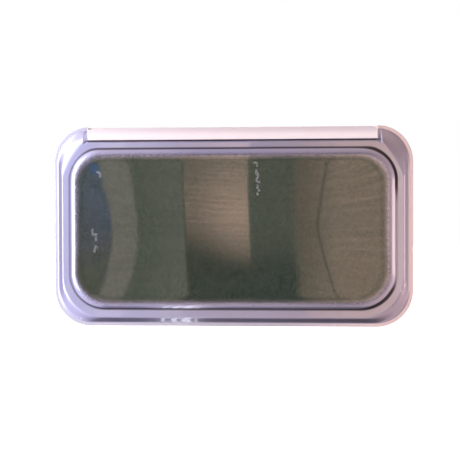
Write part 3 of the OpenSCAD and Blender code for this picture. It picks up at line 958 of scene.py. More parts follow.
def add_piece(name: str, shell: Shell, finish: Finish, slot: str, *replaced: str,
              sharp: float = 40) -> bpy.types.Object:
    """Makes one piece of the window from a closed shell.

    Args:
        name: name of the piece.
        shell: its surface, in millimetres.
        finish: what it is made of.
        slot: the record's material slot; not used.
        replaced: CAD nodes that it stands for.
        sharp: angle in degrees above which an edge isn't shaded smooth.

    Returns:
        The new object, riding on the window's body.
    """
    shell = shell.outward()
    mesh = bpy.data.meshes.new(name)
    faces = shell.quads.tolist() + shell.tris.tolist()
    mesh.from_pydata((shell.points * MM).tolist(), [], faces)
    if shell.marks is not None:
        layer = mesh.attributes.new("inward", "FLOAT", "POINT")
        layer.data.foreach_set("value", shell.marks.reshape(-1).astype(np.float32))
    mesh.update()
    mesh.polygons.foreach_set("use_smooth", np.ones(len(mesh.polygons), bool))
    mesh.set_sharp_from_angle(angle=math.radians(sharp))
    mesh.materials.append(finish.material())
    piece = linked(name, mesh)
    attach(piece, BODY)
    if replaced:
        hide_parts(*replaced)
    LOG.info("%s: %d faces", name, len(mesh.polygons))
    return piece


def dress_node(node: str, finish: Finish) -> None:
    """Gives a CAD node's own solid its finish.

    Args:
        node: name of the node.
        finish: what it is made of.
    """
    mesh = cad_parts[node].data
    mesh.materials.clear()
    mesh.materials.append(finish.material())
    LOG.info("%s: the solid, in %s", node, finish.value.name)


# Outer pane


@dataclass
class OuterPane:
    """Formed outer pane: rim, ogee step, flange, crease, pillow, and the rail's pocket.

    A line is a closed loop round the pane at one height in front of the wall. Its numbers
    are half its width, its top, where its top corner starts, the corner's height and
    exponent, its bottom, the bottom corner's radius, its height, the top and the height
    that it has inside the pocket, 1 where the pocket cuts it, and its distance inwards from
    the crease. In the methods, back is 0 for the front face and 1 for the back face.
    """

    width: float = 900
    height: float = 500
    top: float = 17.25
    skin: float = 4
    rim_front: float = 8
    rim_w: float = 8
    rim_round: float = 1
    corner_z: float = 91
    bottom_r: float = 91
    step_w: float = 15
    step_rise: float = 10
    flange_r_z: float = 95
    flange_bottom_r: float = 105
    flange_w: float = 17
    flange_w_bottom: float = 21
    flange_w_top: float = 16.5
    crease_r_top: float = 78
    crease_r_bottom: float = 90
    pillow_w: float = 20
    pillow_rise: float = 9.5
    border_w: float = 7
    crown_rise: float = 3.5
    ear_w: float = 85.5
    end_wall_w: float = 10
    foot_z: float = -16.45
    wall_w: float = 4.4
    cut_z: float = 3.75
    cut_x: float = 353
    line_gap: float = 1
    step_shift: float = 0.4
    wall_shift: float = 0.75
    flange_exp: float = 1.2
    slope_exp: float = 1.5
    corner_share: float = 0.6
    dome_exp: float = 30
    flat_in: float = 2
    back_edge: float = 0.4
    soft_step: float = 0.2
    soft_w: float = 0.75
    soft_reach: int = 14
    pocket_share: float = 0.4
    flat_w: float = 330
    flat_weight: float = 0.012
    bend_weight: float = 3
    front_lines: int = 118
    run_points: tuple[int, ...] = (40, 8, 16, 56, 30, 44, 36)

    def __post_init__(self) -> None:
        """Works out the places that follow from the sizes."""
        self.half = self.width / 2
        self.bottom = self.top - self.height
        self.foot_x = self.half - self.ear_w
        self.flange_front = self.rim_front + self.step_rise
        self.crease_half = self.half - self.rim_w - self.step_w - self.flange_w
        self.crease_top = self.foot_z - self.wall_w - self.flange_w_top
        self.crease_low = self.bottom + self.rim_w + self.step_w + self.flange_w_bottom
        self.step_drop = self.top - self.rim_w - self.foot_z - self.line_gap
        self.cut_in = self.cut_z - self.rim_round - self.line_gap
        self.dome_edge = self.pillow_w + self.border_w
        self.mid = (self.crease_top + self.crease_low) / 2

    def rim_line(self, s: Array, h: Array | float, cut: Array) -> Array:
        """Lines of the flat rim: in by s, at the height h, the pocket's edge at cut."""
        return listed(
            self.half - s, self.top - s, self.foot_x, self.corner_z - s, 2, self.bottom + s,
            self.bottom_r - s, h, cut, h, 1, -80,
        )

    def step_line(self, t: Array, back: int) -> Array:
        """Lines of the ogee step, whose height follows half a cosine wave.

        Args:
            t: share of the way in.
            back: face.

        Returns:
            Lines x 12.
        """
        shift, wall = self.step_shift * self.skin * back, self.wall_shift * self.skin * back
        s = self.rim_w + self.step_w * t + shift
        drop = self.rim_w + self.step_drop * t**self.slope_exp + shift
        floor = self.rim_front - self.skin * back
        return listed(
            self.half - s, self.top - drop, self.foot_x + wall,
            mix(self.corner_z - self.rim_w, self.flange_r_z, t), mix(2, self.flange_exp, t),
            self.bottom + s, mix(self.bottom_r - self.rim_w, self.flange_bottom_r, t),
            floor + self.step_rise * ease(t),
            mix(self.cut_in - self.line_gap, self.foot_z + self.line_gap, t) - wall * t,
            floor, 1, -40,
        )

    def wall_line(self, t: Array, back: int) -> Array:
        """Lines of the pocket's lower wall, which lie on the flat flange everywhere else.

        Args:
            t: share of the way up the wall.
            back: face.

        Returns:
            Lines x 12.
        """
        wall = self.wall_shift * self.skin * back
        s = self.rim_w + self.step_w + self.step_shift * self.skin * back
        s = s + self.line_gap * (1 + t)
        z = self.foot_z - self.wall_w * t - wall
        floor = self.rim_front - self.skin * back
        return listed(
            self.half - s, z, self.foot_x + wall, self.flange_r_z, self.flange_exp,
            self.bottom + s, self.flange_bottom_r, floor + self.step_rise, z,
            floor + self.step_rise * ease(t), 1, -20,
        )

    def pillow_line(self, s: Array, cut: Array | float, h: Array | float,
                    inward: Array | float) -> Array:
        """Lines in from the crease by s, at the height h, their corner radii smaller by cut."""
        top, bottom = self.crease_r_top - cut, self.crease_r_bottom - cut
        return listed(
            self.crease_half - s, self.crease_top - s, self.crease_half - s - top, top, 2,
            self.crease_low + s, bottom, h, self.crease_top - s, h, 0, inward,
        )

    def shoulder_line(self, a: Array, back: int) -> Array:
        """Lines of the pillow's shoulder, a quarter ellipse.

        Args:
            a: angle on the ellipse, in degrees.
            back: face.

        Returns:
            Lines x 12.
        """
        r = np.radians(a)
        s = mix(self.skin * back, self.pillow_w, 1 - np.cos(r))
        h = self.flange_front - self.skin * back + self.pillow_rise * np.sin(r)
        return self.pillow_line(s, self.corner_share * s, h, s)

    def crown_line(self, q: Array, back: int) -> Array:
        """Lines of the clear field: height = shoulder + crown (1 - q q).

        Args:
            q: share of the way out from the middle.
            back: face.

        Returns:
            Lines x 12.
        """
        edge = self.dome_edge
        top = (self.crease_r_top - self.corner_share * edge) * q
        half = (self.crease_half - edge) * q
        high = mix(self.mid, self.crease_top - edge, q)
        h = self.flange_front - self.skin * back + self.pillow_rise
        h = h + self.crown_rise * (1 - q * q)
        return listed(
            half, high, half - top, top, 2, mix(self.mid, self.crease_low + edge, q),
            (self.crease_r_bottom - self.corner_share * edge) * q, h, high, h, 0,
            edge + (1 - q) * self.crease_half,
        )

    def face_lines(self, back: int) -> Array:
        """All lines of one face, from the rim to the middle; the back has half as many."""
        n, crease = 1 + back, np.array([self.skin * back])
        return np.concatenate([
            self.step_line(np.linspace(0.04, 1, 32 // n), back),
            self.wall_line(np.linspace(0, 1, 12 // n), back),
            self.pillow_line(crease, 0.0, self.flange_front - crease, 0.0),
            self.shoulder_line(np.linspace(4, 90, 30 // n), back),
            self.crown_line(np.concatenate([[1], np.linspace(0.985, 0.06, 24 // n)]), back),
        ])

    def front_softened(self, lines: Array) -> Array:
        """Front lines with their creases rounded.

        The lines are read as a curve over the length of the side's section, spread evenly,
        and each number is averaged with a bell of about a millimetre.

        Args:
            lines: lines x 12.

        Returns:
            Rounded lines x 12, closer together where the section bends.
        """
        side = np.stack([-lines[:, 0], lines[:, 7]], axis=-1)
        pocket = np.abs(np.diff(lines[:, 9])) + np.abs(np.diff(lines[:, 8]))
        step = np.linalg.norm(np.diff(side, axis=0), axis=1)
        along = np.cumsum(np.maximum(step, self.pocket_share * pocket))
        along = np.concatenate([[0], along])
        fine = np.arange(0, along[-1], self.soft_step)
        soft = softened(sampled(fine, along, lines), self.soft_reach,
                        self.soft_w / self.soft_step, "edge")
        bend = np.linalg.norm(np.diff(soft[:, [0, 7, 9]], n=2, axis=0), axis=1)
        weight = self.bend_weight * np.sqrt(np.concatenate([[0], bend, [0]])) + self.flat_weight
        weight[fine >= along[-1] - self.flat_w] = self.flat_weight
        place = np.concatenate([[0], np.cumsum((weight[1:] + weight[:-1]) / 2)])
        pick = np.interp(np.linspace(0, place[-1], self.front_lines), place, fine)
        return sampled(pick, fine, soft)

    def points(self, lines: Array, back: int) -> Array:
        """Points of the lines, whole loops from the top's middle clockwise and back.

        Along the top, z is the line's own top or the pocket's; round the top corner,
        x = start + a cos(t)^(2/n) and z = top - b + b sin(t)^(2/n); the bottom corner is a
        circle. The pocket's walls lie further out on the back face.

        Args:
            lines: lines x 12.
            back: face.

        Returns:
            Lines x points x 3, in millimetres.
        """
        half, top, start, rise, power, low, low_r, h, cut, floor, pocket, inward = (
            lines[:, k, None] for k in range(12)
        )
        shift = self.wall_shift * self.skin * back
        share = np.where(pocket > 0.5, 1.0, np.minimum(1.0, half / self.crease_half))
        foot, lip = self.foot_x + shift, self.foot_x + self.end_wall_w + shift

        def edge_z(x: Array) -> Array:
            """Top of the line at x: top - b (1 - (1 - u^n)^(1/n))."""
            u = np.clip((x - start) / (half - start), 0, 1)
            return top - rise * (1 - (1 - u**power) ** (1 / power))

        def run(x: Array, height: Array, z: Array) -> Array:
            """Part of each line, from its places along the three axes."""
            return np.stack(np.broadcast_arrays(x, height, z), axis=-1)

        floor_t, fade_t, wall_t, corner_t, side_t, low_t, foot_t = (
            np.linspace(0, 1, n)[None, min(k, 1):] for k, n in enumerate(self.run_points)
        )
        on_floor = self.cut_x * share * floor_t
        fading = mix(self.cut_x * share, foot * share, fade_t)
        on_wall = mix(foot, lip, wall_t) * share
        first = (lip * share - start) / (half - start)
        a = np.arccos(np.clip(first, 0, 1) ** (power / 2)) * (1 - corner_t)
        b = np.pi / 2 * low_t
        right = np.concatenate([
            run(on_floor, mix(h, floor, pocket), mix(edge_z(on_floor), cut, pocket)),
            run(fading, mix(h, floor, pocket),
                mix(edge_z(fading), mix(cut, edge_z(fading), ease(fade_t)), pocket)),
            run(on_wall, mix(h, mix(floor, h, ease(wall_t)), pocket), edge_z(on_wall)),
            run(start + (half - start) * np.cos(a) ** (2 / power), h,
                top - rise + rise * np.sin(a) ** (2 / power)),
            run(half, h, mix(top - rise, low + low_r, side_t)),
            run(half - low_r + low_r * np.cos(b), h, low + low_r - low_r * np.sin(b)),
            run((half - low_r) * (1 - foot_t), h, low),
        ], axis=1)
        right[..., 1] = -self.domed(right, inward, back)
        left = right[:, -2:0:-1] * np.array([-1, 1, 1])
        return np.concatenate([right, left], axis=1)

    def domed(self, grid: Array, inward: Array, back: int) -> Array:
        """Heights with the clear field as one smooth dome.

        Inside the border the height is shoulder + crown (1 - (x/a)^2) (1 - (z/b)^2)
        (1 - q^30), where a and b are half the field's sizes and q is the share out.

        Args:
            grid: points as x, height and z.
            inward: distance of each line from the crease.
            back: face.

        Returns:
            The height of each point.
        """
        edge = self.dome_edge
        q = 1 - (inward - edge) / self.crease_half
        x = grid[..., 0] / (self.crease_half - edge)
        z = (grid[..., 2] - self.mid) / (self.crease_top - edge - self.mid)
        shoulder = self.flange_front - self.skin * back + self.pillow_rise
        dome = self.crown_rise * (1 - x * x) * (1 - z * z) * (1 - np.abs(q) ** self.dome_exp)
        return np.where(inward >= edge, shoulder + dome, grid[..., 1])

    def shell(self) -> Shell:
        """Whole pane: back face from the middle out, round the rim, front face back in.

        Returns:
            The pane, each of its points marked with its distance from the crease.
        """
        back, front_h, e = self.face_lines(1)[::-1], self.rim_front, self.back_edge
        back_h = front_h - self.skin
        rim_back = self.rim_line(
            np.array([self.rim_w, e, 0]), np.array([back_h, back_h, back_h + e]),
            np.array([self.cut_in, self.cut_z, self.cut_z]))
        ins, ups = quarter(self.rim_round, 7)
        rim_front = self.rim_line(ups, front_h - ins, self.cut_z - ups / 2)
        flat = self.rim_line(np.linspace(self.flat_in, self.rim_w, 5), front_h,
                             np.linspace(self.cut_z - 1, self.cut_in, 5))
        front = self.front_softened(np.concatenate([flat, self.face_lines(0)]))
        outer = np.concatenate([rim_back, rim_front, front])
        grid = np.concatenate([self.points(back, 1), self.points(outer, 0)])
        marks = np.concatenate([back[:, 11], outer[:, 11]])
        return loops_shell(grid, np.repeat(marks[:, None], grid.shape[1], axis=1))

    def build(self) -> None:
        """Adds the pane in place of its faceted solid."""
        add_piece("pane", self.shell(), Finish.PANE, "painted_acrylic", "outer_pane", sharp=75)


# Hinge


@dataclass
class HingeRail:
    """Sash rail with its end caps, wall rail and gasket."""

    height: float = 30.5
    depth: float = 12
    front: float = 20
    face_r: float = 52
    half: float = 361
    cap: float = 1.5
    body_edge: float = 0.25
    cap_edge: float = 0.5
    soft_reach: int = 40
    soft_w: float = 9.0
    bead_y: float = -7.2
    bead_z: float = 9.45
    knuckle_r: float = 4.7
    knuckle_half: float = 351
    knuckle_wall: float = 1.5
    knuckle_edge: float = 0.25
    mouth: Span = (112, 357)
    nicks: tuple[tuple[float, float, float], ...] = (
        (246.5, 3.2, 1.3), (356.0, 5.0, 1.3), (-357.0, 3.0, 0.9))
    nick_reach: float = 2.5

    def section(self, count: int = 120) -> Array:
        """Outline of the rail, as height in front of the wall and Z, edges rounded.

        The face is an arc of the large radius, the back is flat, and the corners are
        softened by averaging the outline's points with a bell.

        Args:
            count: number of points, a divisor of 1200.

        Returns:
            Points x 2.
        """
        top = self.height / 2
        reach = math.degrees(math.asin(top / self.face_r))
        face = arc((self.front - self.face_r, 0), self.face_r, -reach, reach, 30)
        back = self.front - self.depth
        outline = even(np.concatenate([face, [[back, top], [back, -top]]]), 1200)
        return softened(outline, self.soft_reach, self.soft_w, "wrap")[:: 1200 // count]

    def length(self, x0: float, x1: float, edge: float, stations: int) -> Shell:
        """Length of the rail from x0 to x1, its ends rounded by the edge.

        Args:
            x0: start.
            x1: end.
            edge: radius of the ends' edges.
            stations: cross-sections between the ends.

        Returns:
            The closed length.
        """
        ins, offs = quarter(edge, 5)
        x = np.concatenate([x0 + offs, np.linspace(x0 + edge, x1 - edge, stations)[1:-1],
                            x1 - offs[::-1]])
        loops = inset(self.section(), np.concatenate([ins, np.zeros(stations - 2), ins[::-1]]))
        return loops_shell(np.stack([
            np.broadcast_to(x[:, None], loops.shape[:2]), -loops[..., 0], loops[..., 1]
        ], axis=-1))

    def nicked(self, shell: Shell) -> Shell:
        """The rail with the small nicks of its top edge.

        Each nick sinks the top by depth exp(-(distance / width)^4).

        Args:
            shell: the rail without them.

        Returns:
            The same faces over sunk points.
        """
        p = shell.points.copy()
        near_top = np.clip((p[:, 2] - self.height / 2) / self.nick_reach + 1, 0, 1)
        for x, w, depth in self.nicks:
            p[:, 2] -= depth * near_top * np.exp(-(((p[:, 0] - x) / w) ** 4))
        return replace(shell, points=p)

    def knuckle(self) -> Shell:
        """Claw at the rail's back that grips the wall rail's bead: most of a round tube.

        It is a stack of rounded rectangles, which span its wall and its length, turned
        about the bead from one lip of its mouth to the other.

        Returns:
            The closed claw.
        """
        a = np.radians(np.linspace(*self.mouth, 60))[:, None]
        e, x, out = self.knuckle_edge, self.knuckle_half, self.knuckle_r
        inn = out - self.knuckle_wall
        r = np.array([out - e, out, out, out - e, inn + e, inn, inn, inn + e])
        along = np.array([-x, -x + e, x - e, x, x, x - e, -x + e, -x])
        return loops_shell(np.stack([
            along + 0 * a, self.bead_y + r * np.sin(a), self.bead_z + r * np.cos(a)
        ], axis=-1))

    def build(self) -> None:
        """Adds the sash rail and its caps, and dresses the wall rail and the gasket."""
        body = self.nicked(self.length(-self.half, self.half, self.body_edge, 420))
        body = joined(body, self.knuckle())
        add_piece("sash_rail_body", body, Finish.RAIL, "bright_rail", "sash_rail", sharp=50)
        for side in Side:
            cap = self.length(self.half, self.half + self.cap, self.cap_edge, 3).on(side)
            add_piece(f"rail_end_cap_{side.word}", cap, Finish.CAP, "cap_plastic",
                      f"rail_cap_{side.word}")
        dress_node("wall_rail", Finish.EXTRUSION)
        dress_node("rail_gasket", Finish.RUBBER)


# Inside of the window


@dataclass
class InnerPane:
    """Flat inner pane with its two vent plugs."""

    plug_x: float = 300
    plug_z: float = -51.85
    back: float = -11
    head_r: float = 7
    head_t: float = 1.6
    shaft_r: float = 4
    thick: float = 3
    dome_r: tuple[float, ...] = (5.4, 3.6, 2.0, 0.7)
    dimple: float = 0.45

    def plug(self, side: Side) -> Shell:
        """Plug with a plain shaft and a low domed head that has a dimple in its middle.

        Args:
            side: which of the two plugs.

        Returns:
            The placed plug.
        """
        a = np.linspace(0, np.pi / 2, 6)
        dome_r = np.array(self.dome_r)
        dome_z = self.head_t - 0.25 * (dome_r / 5.8) ** 2
        dome_z[-2:] -= self.dimple
        r = np.concatenate([[self.shaft_r - 0.4, self.shaft_r, self.shaft_r, self.head_r - 0.2],
                            self.head_r - 0.7 + 0.7 * np.cos(a), dome_r])
        z = np.concatenate([[-self.thick, -self.thick + 0.4, 0, 0],
                            self.head_t - 0.9 + 0.65 * np.sin(a), dome_z])
        part = laid(turned(r, z, 48), "xzy")
        return part.moved(side.value * self.plug_x, self.back, self.plug_z)

    def build(self) -> None:
        """Dresses the pane and adds the plugs."""
        dress_node("inner_pane", Finish.INNER)
        for side in Side:
            add_piece(f"plug_{side.word}", self.plug(side), Finish.PLASTIC, "grey_plastic",
                      f"vent_plug_{side.word}", sharp=55)


@dataclass
class Seal:
    """Hollow rubber seal: four lengths and four moulded corners round the inner pane."""

    half: float = 411
    top: float = -36.85
    low: float = -443.75
    radius: float = 85
    width: float = 10
    foot_t: float = 2
    back: float = 11
    round_off: float = 0.5
    rib_depth: float = 0.012
    rib_count: int = 13
    end_sizes: tuple[float, float] = (0.94, 0.985)
    end_step: float = 0.5
    inner_step: float = 1.2

    def section(self, count: int = 84) -> Array:
        """Outline of the seal, as its place across and its height from the wall.

        A foot with rounded ends carries a round bulb, with fine ribs along its sides.

        Args:
            count: number of points.

        Returns:
            Points x 2.
        """
        r, neck = (self.back - self.foot_t / 2) / 2, self.back - self.foot_t
        reach = math.degrees(math.asin((neck - r) / r))
        a = np.linspace(0, 1, 64)
        on_side = np.abs(a - 0.5) > 0.2
        on_rib = np.cos(2 * np.pi * self.rib_count * a) > 0.55
        middle = np.array([0, r])
        bulb = arc((0, r), r, 180 - reach, 360 + reach, 64)
        bulb = middle + (bulb - middle) * (1 - self.rib_depth * on_rib * on_side)[:, None]
        e = self.round_off
        x, low, high = self.width / 2 - e, neck + e, self.back - e
        corners = [((x, low), -90), ((x, high), 0), ((-x, high), 90), ((-x, low), 180)]
        foot = [arc(centre, e, start, start + 90, 5) for centre, start in corners]
        return even(np.concatenate([bulb, *foot]), count)

    def swept(self, path: Array, out: Array) -> Shell:
        """Seal along a path.

        Args:
            path: stations x 2, the seal's middle in X-Z.
            out: stations x 2, the direction across it.

        Returns:
            The closed length, its ends drawn in a little where two pieces are joined.
        """
        outline = self.section()
        middle = np.array([0, self.back / 2])
        places = np.arange(len(path))
        from_end = np.minimum(np.minimum(places, places[::-1]), 2)
        size = np.array([*self.end_sizes, 1.0])[from_end]
        loop = middle + (outline[None] - middle) * size[:, None, None]
        across, rise = loop[..., 0], loop[..., 1]
        grid = np.stack([
            path[:, None, 0] + out[:, None, 0] * across, -rise,
            path[:, None, 1] + out[:, None, 1] * across,
        ], axis=-1)
        return loops_shell(grid)

    def stations(self, length: float, count: int) -> Array:
        """Places along a length: a count of them, and two more close to each end."""
        inner = np.linspace(self.inner_step, length - self.inner_step, count)
        return np.concatenate([[0, self.end_step], inner, [length - self.end_step, length]])

    def straight(self, start: tuple[float, float], step: tuple[float, float],
                 out: tuple[float, float], length: float) -> Shell:
        """Straight length of the seal.

        Args:
            start: where its middle starts, in X-Z.
            step: direction that it runs in.
            out: direction away from the window's middle.
            length: its length.

        Returns:
            The closed length.
        """
        s = self.stations(length, 60)[:, None]
        path = np.array(start) + s * np.array(step)
        return self.swept(path, np.broadcast_to(np.array(out, float), path.shape))

    def corner(self, x: int, z: int) -> Shell:
        """Moulded corner of the seal.

        Args:
            x: 1 at the right and -1 at the left.
            z: 1 at the top and -1 at the bottom.

        Returns:
            The closed corner.
        """
        a = self.stations(math.pi / 2 * self.radius, 40) / self.radius
        out = np.stack([x * np.cos(a), z * np.sin(a)], axis=-1)
        cz = self.top - self.radius if z > 0 else self.low + self.radius
        return self.swept(np.array([x * (self.half - self.radius), cz]) + self.radius * out, out)

    def build(self) -> None:
        """Adds the eight pieces of the seal."""
        x, r = self.half - self.radius, self.radius
        run = self.top - self.low - 2 * r
        pieces = {
            "top": self.straight((-x, self.top), (1, 0), (0, 1), 2 * x),
            "bottom": self.straight((-x, self.low), (1, 0), (0, -1), 2 * x),
            "left": self.straight((-self.half, self.low + r), (0, 1), (-1, 0), run),
            "right": self.straight((self.half, self.low + r), (0, 1), (1, 0), run),
        }
        for side in Side:
            pieces[f"corner_top_{side.word}"] = self.corner(side.value, 1)
            pieces[f"corner_bottom_{side.word}"] = self.corner(side.value, -1)
        for name, shell in pieces.items():
            add_piece(f"rubber_{name}", shell, Finish.RUBBER, "rubber", f"seal_{name}", sharp=60)


def cross_screw(r: float, rise: float) -> Shell:
    """Domed screw head with a cross recess, drawn about Z with its seat at 0.

    The recess is as deep as the product of two falls, across its arm and along it.

    Args:
        r: radius of the head.
        rise: height of the head's middle.

    Returns:
        The closed head, its middle sunk where the two slots of the recess cross it.
    """
    a = np.linspace(0, 2 * np.pi, 64, endpoint=False)[None]
    q = np.concatenate([[1, 1], np.linspace(0.97, 0.05, 22)])[:, None]
    x, y = r * q * np.cos(a), r * q * np.sin(a)
    z = rise * np.sqrt(np.clip(1 - (0.9 * q) ** 2, 0, 1)) + 0 * a
    across = np.minimum(np.abs(x), np.abs(y)) / r
    along = np.maximum(np.abs(x), np.abs(y)) / r
    arm, reach, depth = 0.16, 0.62, 0.55
    slot = np.clip((arm - across) / 0.08, 0, 1) * np.clip((reach - along) / 0.1, 0, 1)
    z = z - depth * rise * slot
    z[0] = 0
    return loops_shell(np.stack([x, y, z], axis=-1))


def flat_screw(r: float, place: tuple[float, float, float]) -> Shell:
    """Cross-recess screw head that faces the inside, seated at a place."""
    return laid(cross_screw(r, SCREW_RISE), "xzy").moved(*place)


@dataclass
class Stay:
    """Telescopic stay: foot, tube, rod, friction collar and knob, pins and wall bracket."""

    x: float = 393
    y: float = -1
    low: float = -345.75
    high: float = -105
    tube_r: float = 5
    tube_share: float = 0.66
    eye_w: float = 8
    lug_t: float = 2
    lug_gap: float = 0.3
    foot_l: float = 40
    foot_w: float = 18
    foot_t: float = 2.5
    back: float = -11
    collar_r: float = 7.5
    collar_l: float = 16
    boss_rise: float = 1.5
    knob_r: float = 8
    knob_l: float = 9
    pin_r: float = 2
    pin_head: float = 1
    wall: float = 1
    edge: float = 0.5
    screw_r: float = 3
    screw_z: float = 14.5
    grips: int = 10
    grip_depth: float = 1.0
    plate_edge: float = 0.4
    lug_edge: float = 0.35

    def __post_init__(self) -> None:
        """Works out the heights that follow from the sizes."""
        self.length = self.high - self.low
        self.tube_l = self.length * self.tube_share
        self.tube_top = self.low + self.tube_l
        self.lug_x = self.eye_w / 2 + self.lug_gap

    def bar(self, r: float, x0: float, length: float, z: float) -> Shell:
        """Round bar along X with rounded edges, from x0 off the stay's middle, at the height z."""
        radii, heights = rounded_ends(r, length, min(self.edge, 0.45 * r))
        return laid(turned(radii, heights, 48), "yzx").moved(self.x + x0, self.y, z)

    def post(self, radii: list[float], heights: list[float]) -> Shell:
        """Turned part about the stay's own upright axis."""
        return turned(radii, heights, 56).moved(self.x, self.y)

    def block(self, w: float, h: float, r: float, low: float, high: float,
              axes: str, place: tuple[float, float, float]) -> Shell:
        """Plate w by h with round corners and soft edges, laid along axes at a place."""
        plate = soft_plate(rounded_box(w, h, r), low, high, self.plate_edge)
        return laid(plate, axes).moved(*place)

    def foot(self) -> Shell:
        """Plate with two round-backed lugs, which stand on both sides of the tube's eye.

        Returns:
            The foot's shell.
        """
        parts = [self.block(self.foot_w, self.foot_l, 4, 0, self.foot_t, "xzy",
                            (self.x, self.back, self.low))]
        lug = even(np.concatenate([
            arc((0, self.y - self.back), self.tube_r, 0, 180, 32),
            [[-self.tube_r - 1.5, 0.2], [self.tube_r + 1.5, 0.2]],
        ]), 120)
        for x0 in (self.lug_x, -self.lug_x - self.lug_t):
            plate = laid(soft_plate(lug, 0, self.lug_t, self.lug_edge), "zyx")
            parts.append(plate.moved(self.x + x0, self.back, self.low))
        return joined(*parts)

    def foot_screws(self) -> Shell:
        """Heads of the two screws that hold the foot."""
        y, d = self.back + self.foot_t, self.screw_z
        return joined(*(flat_screw(self.screw_r, (self.x, y, self.low + k * d)) for k in (-1, 1)))

    def tube(self) -> Shell:
        """Open tube with a rolled upper end, over a flat neck and a round eye.

        Returns:
            The tube's shell.
        """
        r, w, top = self.tube_r, self.wall, self.tube_top
        start = self.low + self.tube_r + 1
        radii = [r - 1.2, r - 0.5, r, r, r - 0.15, r - 0.15, r, r, r - 0.25, r - w / 2,
                 r - w + 0.15, r - w, r - w]
        heights = [start, start + 0.2, start + 0.9, top - 6, top - 5.4, top - 4.6, top - 4,
                   top - 0.5, top - 0.1, top, top - 0.1, top - 0.5, top - 12]
        neck = self.block(self.eye_w, self.tube_r + 3, 0.8, -self.tube_r / 2, self.tube_r / 2,
                          "xzy", (self.x, self.y, self.low + self.tube_r / 2 + 1))
        return joined(self.post(radii, heights), neck,
                      self.bar(self.tube_r, -self.eye_w / 2, self.eye_w, self.low))

    def rod(self) -> Shell:
        """Drawn rod with a chamfered foot and a round eye.

        Returns:
            The rod's shell.
        """
        r = self.tube_r - self.wall - 0.15
        low, top = self.low + self.tube_l / 2, self.high - 0.5
        body = self.post([r - 0.6, r, r, r], [low, low + 0.6, top - 1, top])
        return joined(body, self.bar(self.tube_r, -self.eye_w / 2, self.eye_w, self.high))

    def collar(self) -> Shell:
        """Friction collar with two grooves and the boss that carries the knob.

        Returns:
            The collar's shell.
        """
        r, z, h = self.collar_r, self.tube_top - self.collar_l / 2, self.collar_l
        inner = self.tube_r + 0.15
        radii = [inner, r - 0.6, r - 0.15, r, r, r - 0.4, r - 0.4, r, r, r - 0.4, r - 0.4, r, r,
                 r - 0.15, r - 0.6, self.tube_r - self.wall]
        heights = [z, z, z + 0.2, z + 0.7, z + 2.2, z + 2.5, z + 3.2, z + 3.5, z + h - 3.5,
                   z + h - 3.2, z + h - 2.5, z + h - 2.2, z + h - 0.7, z + h - 0.2, z + h, z + h]
        br = r - 1
        reach = r + self.boss_rise
        boss = turned([br, br, br - 0.3, br - 0.6], [0, reach - 0.6, reach - 0.15, reach], 56)
        return joined(self.post(radii, heights),
                      laid(boss, "xzy").moved(self.x, self.y, self.tube_top))

    def knob(self) -> Shell:
        """Knob with ten scalloped grips, a plain foot and a dished, crowned end.

        Between grips the radius dips by the depth times the cube of the half wave
        (1 + cos(10 a)) / 2. The profile lists radius, height and share of the dip.

        Returns:
            The knob's shell.
        """
        a = np.linspace(0, 2 * np.pi, 160, endpoint=False)[None]
        r, l = self.knob_r, self.knob_l
        profile = np.array([
            [r - 0.3, 0, 0], [r, 0.3, 0], [r, 1.2, 0], [r, 1.7, 0.7], [r, 2.3, 1],
            [r, l - 1.2, 1], [r - 0.25, l - 0.5, 0.9], [r - 0.8, l - 0.1, 0.6],
            [r - 1.6, l, 0.2], [r - 2.6, l, 0], [r - 3.1, l - 0.5, 0], [r - 4.5, l - 0.7, 0],
            [1.2, l - 0.7, 0],
        ])
        dip = self.grip_depth * ((1 + np.cos(self.grips * a)) / 2) ** 3
        radius = profile[:, :1] - profile[:, 2:] * dip
        grid = np.stack([radius * np.cos(a), radius * np.sin(a), profile[:, 1:2] + 0 * a], -1)
        return laid(loops_shell(grid), "xzy").moved(
            self.x, self.y + self.collar_r + self.boss_rise, self.tube_top)

    def pin(self, z: float) -> Shell:
        """Pin with a low domed head at both ends.

        Args:
            z: its height.

        Returns:
            The pin's shell.
        """
        half = self.lug_x + self.lug_t
        r, h, p = self.pin_r, self.pin_r + self.pin_head, self.pin_head
        radii = [0.6, 1.6, h - 0.5, h, h, r, r, h, h, h - 0.5, 1.6, 0.6]
        heights = [-half - p, -half - p * 0.96, -half - p * 0.6, -half - p * 0.3, -half, -half,
                   half, half, half + p * 0.3, half + p * 0.6, half + p * 0.96, half + p]
        return laid(turned(radii, heights, 40), "yzx").moved(self.x, self.y, z)

    def build(self) -> None:
        """Adds both stays, the left one as the mirror image of the right one."""
        for side in Side:
            node = f"stay_{side.word}_"
            for part, shell, finish, slot in (
                ("foot", self.foot(), Finish.PLASTIC, "grey_plastic"),
                ("tube", self.tube(), Finish.TUBE, "aluminium"),
                ("rod", self.rod(), Finish.TUBE, "aluminium"),
                ("collar", self.collar(), Finish.PLASTIC, "grey_plastic"),
                ("knob", self.knob(), Finish.PLASTIC, "grey_plastic"),
                ("lower_pin", self.pin(self.low), Finish.STEEL, "steel"),
                ("upper_pin", self.pin(self.high), Finish.STEEL, "steel"),
            ):
                add_piece(f"{part}_{side.word}", shell.on(side), finish, slot, node + part)
            add_piece(f"foot_screws_{side.word}", self.foot_screws().on(side), Finish.STEEL,
                      "steel")
            dress_node(node + "wall_bracket", Finish.STEEL)


